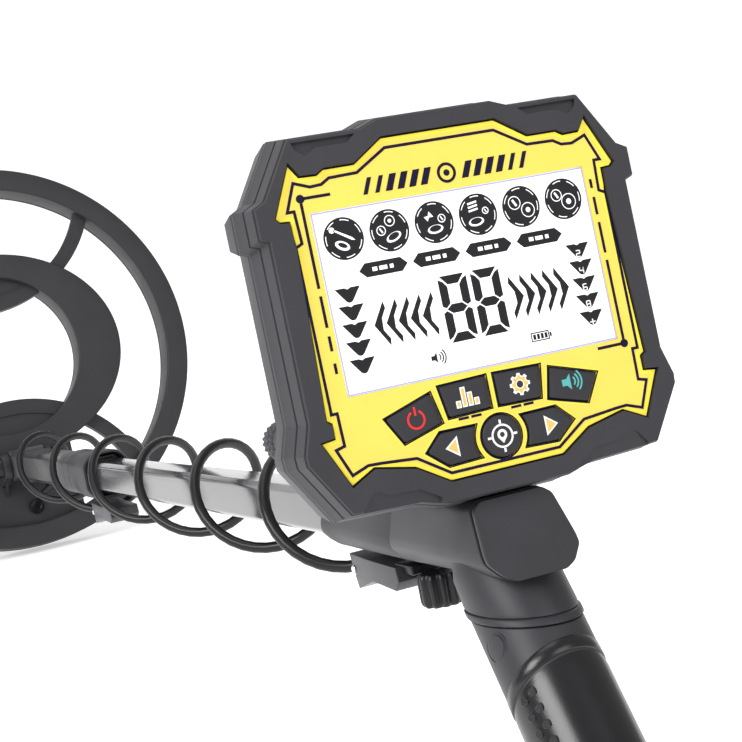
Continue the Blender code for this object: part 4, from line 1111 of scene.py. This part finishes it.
def housing():
    back = HOUSING_BACK
    body, small = housing_section(), housing_section(0.985, *REAR)
    rear = housing_section(1.0, *REAR)
    body_obj = lofted("housing_body", [(small, back), (rear, back + 0.0006),
        (housing_section(1.0, 0.0114, 0.002, 0.0006), back + 0.02), (body, back + 0.07),
        (housing_section(0.988), back + 0.0704), (housing_section(0.988), back + 0.0712), (body,
        back + 0.0716), (housing_section(0.975, 0.0108), -0.09), (housing_section(0.95, 0.0105), -0.06),
        (housing_section(0.9, 0.0108), -0.052), (housing_section(0.86, 0.011), -0.05)])
    slanted(body_obj, back + 0.001)
    pocket = lofted("pocket", [(housing_section(0.84), back - 0.004), (housing_section(0.84), -0.153)])
    slanted(pocket, back + 0.001)
    neck_turn = about("Y", -pi / 2) @ Matrix.Translation(HANDLE_TOP) @ about("Y", HANDLE_LEAN)
    neck = turned("neck",
        [(0.0, 0.014), (HANDLE_R - 0.003, 0.014), (HANDLE_R - 0.0018, 0.008), (HANDLE_R, 0.003),
        (HANDLE_R + 0.0003, -NECK_END + 0.0012), (HANDLE_R, -NECK_END), (0.0, -NECK_END)], 96)
    sloped(neck, -0.01, -1.0)
    neck.data.transform(neck_turn)
    carved(body_obj, neck, operation="UNION")
    bore = plate("bore", [octagon(TUBE_SIZE + 2 * GAP, 0.0022)], -0.151, -0.041)
    carved(body_obj, pocket, bore)
    piece(body_obj, "frame", HOUSING, ALONG_STEM, ["housing"], 32.0)
    levels = [(0.955, 0.002), (0.975, 0.0014), (0.98, 0.0001), (0.965, -0.0005)]
    cap = lofted("end_cap", [(housing_section(scale, *REAR), height) for scale, height in levels])
    for vertex in cap.data.vertices:
        vertex.co.z += back - 0.0007 - 0.002 - vertex.co.x * HOUSING_SLANT
    piece(cap, "frame", HOUSING, ALONG_STEM, ["housing_end_cap"], 32.0)


def grip_top(angle):
    """How far down the handle the grip's slanted upper edge lies, round the handle."""
    return 0.0366 - 0.005 * cos(angle - radians(190))


LIP = 0.006                       # below this a sleeve's rows are shares of the way to its foot


def wrapped(name, top, low, rows, inner, steps=128):
    """A sleeve round the handle; each row is a distance below its top edge and a radius."""
    work = bmesh.new()
    rings = []
    for down, radius in rows:
        ring = []
        for k in range(steps):
            a = 2 * pi * k / steps
            start = top(a)
            depth = start + min(down, LIP) + (low - start - LIP) * max(down - LIP, 0.0)
            reach = radius(a, depth) if callable(radius) else radius
            ring.append(work.verts.new((reach * cos(a), reach * sin(a), -depth)))
        rings.append(ring)
    for depth in (1.0, 0.0):
        rings.append([work.verts.new((inner * cos(a), inner * sin(a), -(low if depth else top(a))))
            for a in (2 * pi * k / steps for k in range(steps))])
    skin(work, rings + rings[:1])
    return finished(name, work)


def grip_radius(angle, depth):
    """The grip swells between the fingers, towards the front."""
    front = max(0.0, cos(angle)) ** 1.5
    swell = 0.0007 * (0.5 - 0.5 * cos((depth - 0.05) / 0.0215 * 2 * pi)) if depth > 0.05 else 0.0
    return 0.0161 + swell * front + 0.0006 * max(0.0, (depth - 0.095) / 0.017)


def handle():
    ring = rounded([(HANDLE_R + 0.0007, -NECK_END - GAP), (HANDLE_R + 0.0007, -RING_END),
        (0.01, -RING_END), (0.01, -NECK_END - GAP)], 0.0006, 3)
    piece(sloped(turned("neck_band", ring, 96, closed=True), -0.01), "frame", HOUSING,
        HANDLE, ["neck_ring"], 40.0)
    core = wrapped("handle_body", lambda a: RING_END + GAP, 0.1119,
        [(0.0, 0.0155), (0.0004, 0.016), (0.005, 0.016)], 0.012)
    for vertex in core.data.vertices:
        a = atan2(vertex.co.y, vertex.co.x)
        if vertex.co.z < -0.025 and vertex.co.to_2d().length > 0.015:
            vertex.co.z = -grip_top(a) + 0.0002
    sloped(core, -0.01, -0.0215)
    piece(core, "frame", HOUSING, HANDLE, ["handle_core"], 32.0)
    plug = [(0.0, 0.0008), (0.003, 0.0008), (0.0038, 0.0005), (0.0041, -0.0002), (0.0044, -0.0003),
        (0.0047, 0.0001), (0.005, -0.0004), (0.005, -0.002), (0.0, -0.002)]
    plug = turned("plug_disc", plug, 48)
    piece(plug, "frame", HOUSING, HANDLE @ about("Z", radians(15))
        @ move(0, HANDLE_R - 0.0004, -0.025) @ about("X", -pi / 2), ["neck_plug"])
    rows = [(0.0, 0.0154), (0.0003, 0.016), (0.0006, 0.01625), (0.0042, 0.01625), (0.0046, 0.016),
        (0.0048, 0.0154), (0.0052, 0.0154), (0.0055, 0.0159)]
    rows += [(LIP + k / 48, grip_radius) for k in range(1, 48)] + [(LIP + 1.0, 0.0163)]
    sleeve = wrapped("grip_cover", grip_top, GRIP_END, rows, 0.0128)
    piece(sleeve, "frame", GRIP, HANDLE, ["grip_sleeve"], 50.0)
    nubs = []
    for angle in (radians(112), radians(126)):
        for k in range(12):
            depth = grip_top(angle) + 0.0085 + k * 0.0052
            if depth > GRIP_END - 0.004:
                continue
            bar = rounded(rectangle(0.0026, 0.003), 0.001, 4)
            nub = lofted("nub",
                [(bar, -0.0006), (scaled(bar, 0.96), 0.0002), (scaled(bar, 0.8), 0.0004)])
            nub.data.transform(about("Z", angle) @ move(grip_radius(angle, depth), 0, -depth)
                @ about("Y", pi / 2))
            nubs.append(nub)
    piece(joined("grip_nubs", nubs), "frame", GRIP, HANDLE)
    down = Vector((-sin(HANDLE_LEAN), 0, -cos(HANDLE_LEAN)))
    base = HANDLE_TOP + down * GRIP_END
    bend = base + down * 0.006
    route = through([base + down * GAP, bend, bend + Vector((-0.005, 0, -0.005)),
        Vector((bend.x - 0.014, 0, REAR_Z + 0.0006)), Vector((bend.x - 0.024, 0, REAR_Z)),
        Vector((-0.305, 0, REAR_Z))], 0.0015)
    elbow = tube_along("elbow_body", route, 0.0152, 64)
    carved(elbow,
        slab((0.04, TUBE_SIZE + 2 * GAP, TUBE_SIZE + 2 * GAP), move(REAR_START - 0.0197, 0, REAR_Z)))
    piece(elbow, "frame", HOUSING, STEM, ["rear_elbow"], 40.0)


# ---- armrest ---------------------------------------------------------------
CUP_R, CUP_THICK, PAD_THICK = 0.048, 0.0032, 0.004
CUP_CENTRE = 0.0145 + GAP + CUP_THICK + CUP_R


def bowed(name, inside, outside, start, end, length, taper=0.0, steps=72, rows=24, grooves=0):
    """A trough bent about the stem's direction; its length is along x and its opening is up."""
    work = bmesh.new()
    grid = []
    for j in range(rows + 1):
        t = j / rows
        edge = min(t, 1 - t) * rows
        row_in, row_out = [], []
        for i in range(steps + 1):
            s = i / steps
            side = min(s, 1 - s) * steps
            a = start + (end - start) * s
            x = (t - 0.5) * length * (1.0 - taper * (abs(s - 0.5) * 2) ** 4)
            thin = 0.5 * (outside - inside) * max(0.0, 1 - min(edge, side) / 1.5) ** 2
            dip = 0.0009 * max(0.0, cos(2 * pi * grooves * s)) ** 12 if grooves else 0.0
            row_in.append(work.verts.new((x, (inside + thin + dip) * cos(a),
                (inside + thin + dip) * sin(a))))
            row_out.append(work.verts.new((x, (outside - thin) * cos(a), (outside - thin) * sin(a))))
        grid.append((row_in, row_out))
    for (in_a, out_a), (in_b, out_b) in zip(grid, grid[1:]):
        for i in range(steps):
            work.faces.new((in_a[i], in_a[i + 1], in_b[i + 1], in_b[i]))
            work.faces.new((out_a[i], out_b[i], out_b[i + 1], out_a[i + 1]))
        for i in (0, steps):
            work.faces.new((in_a[i], in_b[i], out_b[i], out_a[i]))
    for row_in, row_out in (grid[0], grid[-1]):
        for i in range(steps):
            work.faces.new((row_in[i], row_out[i], row_out[i + 1], row_in[i + 1]))
    return finished(name, work)


def armrest():
    piece(square_tube("rear_stem", TUBE_SIZE, TUBE_WALL, REAR_END, REAR_START), "frame", TUBE,
        ALONG_REAR, ["rear_tube"], 28.0)
    refined("rear_plug", "frame", BLACK, 0.0006)
    refined("armrest_saddle", "armrest", HOUSING, 0.0003, 50.0)
    refined("armrest_foot", "armrest", HOUSING, 0.0003, 50.0)
    at = ARMREST @ move(0, 0, CUP_CENTRE)
    cup = bowed("cup_shell", CUP_R, CUP_R + CUP_THICK, radians(-192), radians(12), 0.09, 0.06)
    piece(cup, "armrest", HOUSING, at, ["armrest_cup"], 50.0)
    pad = bowed("arm_cushion", CUP_R - GAP - PAD_THICK, CUP_R - GAP, radians(-175), radians(-5), 0.084,
        0.05, 96, 30, 7)
    piece(pad, "armrest", FOAM, at, ["armrest_pad"], 60.0)
    for node in ("foot_pad_left", "foot_pad_right"):
        refined(node, "armrest", RUBBER, 0.0002, 50.0)
    refined("armrest_bolt", "armrest", STEEL, 0.0002, 40.0)
    wing = knurled("armrest_grip", 0.0098, 0.0034, 6, [(0.8, 0.0044), (0.96, 0.0038), (1.0, 0.0022),
        (1.0, -0.0026), (0.95, -0.004), (0.8, -0.0044)], 1.3)
    piece(wing, "armrest_knob", BLACK, ARMREST @ move(0, -0.02, -0.0122)
        @ about("X", pi / 2), ["armrest_knob"], 30.0)


# ---- search coil -----------------------------------------------------------
COIL_R, COIL_RIM = 0.1524, 0.017
COIL_TOP, COIL_UNDER, WEB_TOP, WEB_UNDER = 0.011, -0.015, 0.004, -0.005
OVAL, OVAL_HOLE = (0.0819, 0.0981), 0.0632
ARCH_R, ARCH_AT, ARCH_BAND, PLATE_HALF = 0.1033, 0.1392, 0.0115, 0.041
GLAND = (-0.1225, -0.0035)
EAR_Y, EAR_THICK, EAR_R = 0.0136, 0.0058, 0.01
PIVOT_IN_COIL = COIL.inverted() @ (STEM @ Vector((PIVOT_X, 0.0, 0.0)))


def ellipse(along, across, count):
    return [(along * cos(2 * pi * i / count), across * sin(2 * pi * i / count)) for i in range(count)]


def arch_strip(sign):
    rim = COIL_R - COIL_RIM / 2
    meet = (rim * rim + ARCH_AT * ARCH_AT - ARCH_R * ARCH_R) / (2 * ARCH_AT)
    start = atan2((rim * rim - meet * meet) ** 0.5, meet - ARCH_AT)
    strip = arc_band(ARCH_R, ARCH_R - ARCH_BAND, 72, (ARCH_AT, 0), start, 2 * pi - start)
    return [(sign * x, y) for x, y in strip]


def arch_lens(sign, radius):
    along, across = OVAL[0] - 0.004, OVAL[1] - 0.004
    disc = circle(radius, 120, (sign * ARCH_AT, 0), start=0.02, end=0.02 + 2 * pi)
    shared = [(x, y) for x, y in disc if (x / along) ** 2 + (y / across) ** 2 < 1]
    shared += [(x, y) for x, y in ellipse(along, across, 120)
        if (x - sign * ARCH_AT) ** 2 + y * y < radius ** 2]
    middle = sum(x for x, _ in shared) / len(shared)
    return sorted(shared, key=lambda point: atan2(point[1], point[0] - middle))


def coil_rings(low, high, edge):
    """The rim and the oval inside it."""
    return [ring_between("rim", circle(COIL_R, 220), circle(COIL_R - COIL_RIM, 220), low, high, edge),
        ring_between("oval", ellipse(*OVAL, 180), circle(OVAL_HOLE, 180), low, high, edge)]


def coil():
    parts = coil_rings(COIL_UNDER, COIL_TOP, 0.0016)
    for sign in (-1, 1):
        arch = plate("arch", [arch_strip(sign)], WEB_UNDER, WEB_TOP)
        parts.append(applied(soften(arch, 0.0012, 3, 40.0)))
        parts.append(plate("lens", [arch_lens(sign, ARCH_R - ARCH_BAND + 0.001)], WEB_UNDER + 0.0003,
            WEB_TOP - 0.0015))
    back = plate("back", [rounded(rectangle(0.076, 2 * PLATE_HALF, (-0.106, 0)), 0.004, 6)],
        WEB_UNDER + 0.0001, WEB_TOP - 0.0001)
    parts.append(applied(soften(back, 0.0008, 3, 40.0)))
    ear_x, ear_top = PIVOT_IN_COIL.x, PIVOT_IN_COIL.z
    tongue = [(ear_x - EAR_R - 0.004, 0.0), (ear_x + EAR_R + 0.004, 0.0),
        *circle(EAR_R, 31, (ear_x, ear_top), 0.0, pi)]
    for start in (EAR_Y, -EAR_Y - EAR_THICK):
        ear = plate("ear", [tongue, circle(0.0032, 32, (ear_x, ear_top))], start, start + EAR_THICK)
        ear.data.transform(about("X", pi / 2))
        parts.append(applied(soften(ear, 0.0007, 3, 40.0)))
        web = [(ear_x - EAR_R - 0.012, WEB_TOP - 0.001), (ear_x - EAR_R, WEB_TOP - 0.001),
            (ear_x - EAR_R, ear_top * 0.6)]
        rib = plate("rib", [web], start + 0.0018, start + 0.004)
        rib.data.transform(about("X", pi / 2))
        parts.append(rib)
    piece(joined("coil_body", parts), "search_coil", COIL_FACE, COIL,
        ["coil_shell"], 30.0)

    low = COIL_UNDER - GAP
    cover = coil_rings(low - 0.002, low, 0.0007)
    panel = plate("skid_back", [rounded(rectangle(0.062, 0.06, (-0.108, 0)), 0.004, 6)], low - 0.002,
        low)
    cover.append(applied(soften(panel, 0.0005, 2, 40.0)))
    piece(joined("coil_skid", cover), "search_coil", BLACK, COIL, ["coil_cover"], 30.0)

    reach = EAR_Y + EAR_THICK
    bolt = [(0.0, reach + 0.0043), (0.0052, reach + 0.0043), (0.007, reach + 0.0037),
        (0.0075, reach + 0.0026), (0.0075, reach + 0.0003), (0.0029, reach + 0.0003), (0.0029, -0.0325),
        (0.0, -0.0325)]
    bolt = turned("pivot_pin", bolt, 48)
    carved(bolt, slab((0.009, 0.0012, 0.002), move(0, 0, reach + 0.0043)))
    piece(bolt, "search_coil", BLACK, PIVOT @ about("X", -pi / 2), ["pivot_bolt"])
    grip = knurled("pivot_grip", 0.0092, 0.0014, 12, [(0.8, 0.006), (0.95, 0.0054), (1.0, 0.004),
        (1.0, -0.004), (0.92, -0.0052), (0.72, -0.006)], 1.4)
    piece(grip, "pivot_knob", BLACK, PIVOT @ move(0, -reach - 0.0068, 0)
        @ about("X", pi / 2), ["pivot_knob"], 30.0)
    profile = [(0.0044, 0.0042), (0.005, 0.0046), (0.0056, 0.004), (0.0058, 0.0028), (0.0056, 0.0003),
        (0.0027, 0.0003), (0.0027, 0.003), (0.0036, 0.0036)]
    piece(turned("gland_ring", profile, 48, closed=True), "search_coil", BLACK, COIL
        @ move(GLAND[0], GLAND[1], WEB_TOP), ["cable_gland"], 50.0)


# ---- fittings on the back of the case --------------------------------------
def case_fittings():
    cap = knurled("jack_dome", 0.0066, 0.0006, 20, [(0.9, 0.0), (0.98, -0.0006),
        (1.0, -0.0018), (0.94, -0.0026), (0.94, -0.0034), (1.0, -0.004), (1.0, -0.0062), (0.94, -0.007),
        (0.97, -0.0078), (0.94, -0.0098), (0.8, -0.0114), (0.45, -0.0124)])
    piece(cap, "jack_cap", CHARCOAL, PANEL
        @ move(JACK[0], JACK[1], -BOX_DEPTH - 0.0063), ["jack_cap"], 40.0)
    nut = knurled("cable_fitting", 0.0074, 0.0007, 18, [(0.94, 0.0), (1.0, -0.0006), (1.0, -0.0056),
        (0.9, -0.0072), (0.78, -0.008), (0.72, -0.011), (0.74, -0.0114), (0.74, -0.0124),
        (0.7, -0.0128), (0.7, -0.0146), (0.72, -0.015), (0.7, -0.0182), (0.6, -0.02)])
    carved(nut, turned("hole", [(0.0, 0.001), (0.003, 0.001), (0.003, -0.021), (0.0, -0.021)], 32))
    piece(nut, "cable_nut", BLACK, PANEL
        @ move(SOCKET[0], SOCKET[1], -BOX_DEPTH - 0.0073), ["cable_nut"], 40.0)
    refined("battery_door", "battery_door", CHARCOAL, 0.0002, 50.0)
    for k in range(1, 5):
        refined(f"case_screw_{k}", "frame", STEEL, 0.0001, 50.0)
    refined("box_bracket", "frame", HOUSING, 0.0004, 50.0)


stem()
lower_rod()
housing()
handle()
armrest()
coil()
case_fittings()


# ---- carried-over CAD nodes ------------------------------------------------
CARRIED = {
    "winding_outer": COPPER, "winding_inner": COPPER, "lcd_module": SCREEN, "circuit_board": GREEN,
    "keypad_mat": RUBBER, "speaker": BLACK, "battery": SLEEVE,
}
for node, material in CARRIED.items():
    NODES[node].data.materials.clear()
    NODES[node].data.materials.append(material)


# ---- stage and light -------------------------------------------------------
def stage():
    floor, reach, bend_at, bend_r, wall_top = -0.0003, 9.0, 4.6, 1.6, 7.0
    profile = [(bend_at + bend_r * sin(a), floor + bend_r - bend_r * cos(a))
        for a in (pi / 2 * k / 16 for k in range(17))]
    profile = [(-reach, floor), *profile, (bend_at + bend_r, wall_top)]
    work = bmesh.new()
    sides = [[work.verts.new((x, y, z)) for x, z in profile] for y in (-reach, reach)]
    for i in range(len(profile) - 1):
        work.faces.new((sides[0][i], sides[0][i + 1], sides[1][i + 1], sides[1][i]))
    obj = object_of("backdrop", work)
    obj.data.shade_smooth()
    paper, _, shader = nodes_of("paper")
    shader.inputs["Base Color"].default_value = (0.93, 0.93, 0.93, 1.0)
    shader.inputs["Roughness"].default_value = 0.9
    shader.inputs["Emission Color"].default_value = (1.0, 1.0, 1.0, 1.0)
    shader.inputs["Emission Strength"].default_value = 0.46
    obj.data.materials.append(paper)


def area_light(name, place, aim, size, power, colour=(1, 1, 1)):
    data = bpy.data.lights.new(name, "AREA")
    data.shape = "RECTANGLE"
    data.size, data.size_y = size
    data.energy = power
    data.color = colour
    obj = bpy.data.objects.new(name, data)
    bpy.context.scene.collection.objects.link(obj)
    place, aim = Vector(place), Vector(aim)
    obj.matrix_world = Matrix.Translation(place) @ (aim - place).to_track_quat("-Z",
        "Y").to_matrix().to_4x4()


def lights():
    world = bpy.data.worlds.new("studio")
    world.use_nodes = True
    back = world.node_tree.nodes["Background"]
    back.inputs["Color"].default_value = (1.0, 1.0, 1.0, 1.0)
    back.inputs["Strength"].default_value = 0.44
    bpy.context.scene.world = world
    area_light("key", (-0.9, 2.2, 1.6), (-0.2, 0.0, 0.2), (1.6, 1.2), 60.0)
    area_light("fill", (-2.4, -0.6, 1.2), (0.0, 0.0, 0.2), (1.4, 1.4), 16.0)
    area_light("top", (0.3, 0.2, 2.6), (0.2, 0.0, 0.1), (2.2, 1.6), 18.0)
    bpy.context.scene.view_settings.view_transform = "Standard"


stage()
lights()
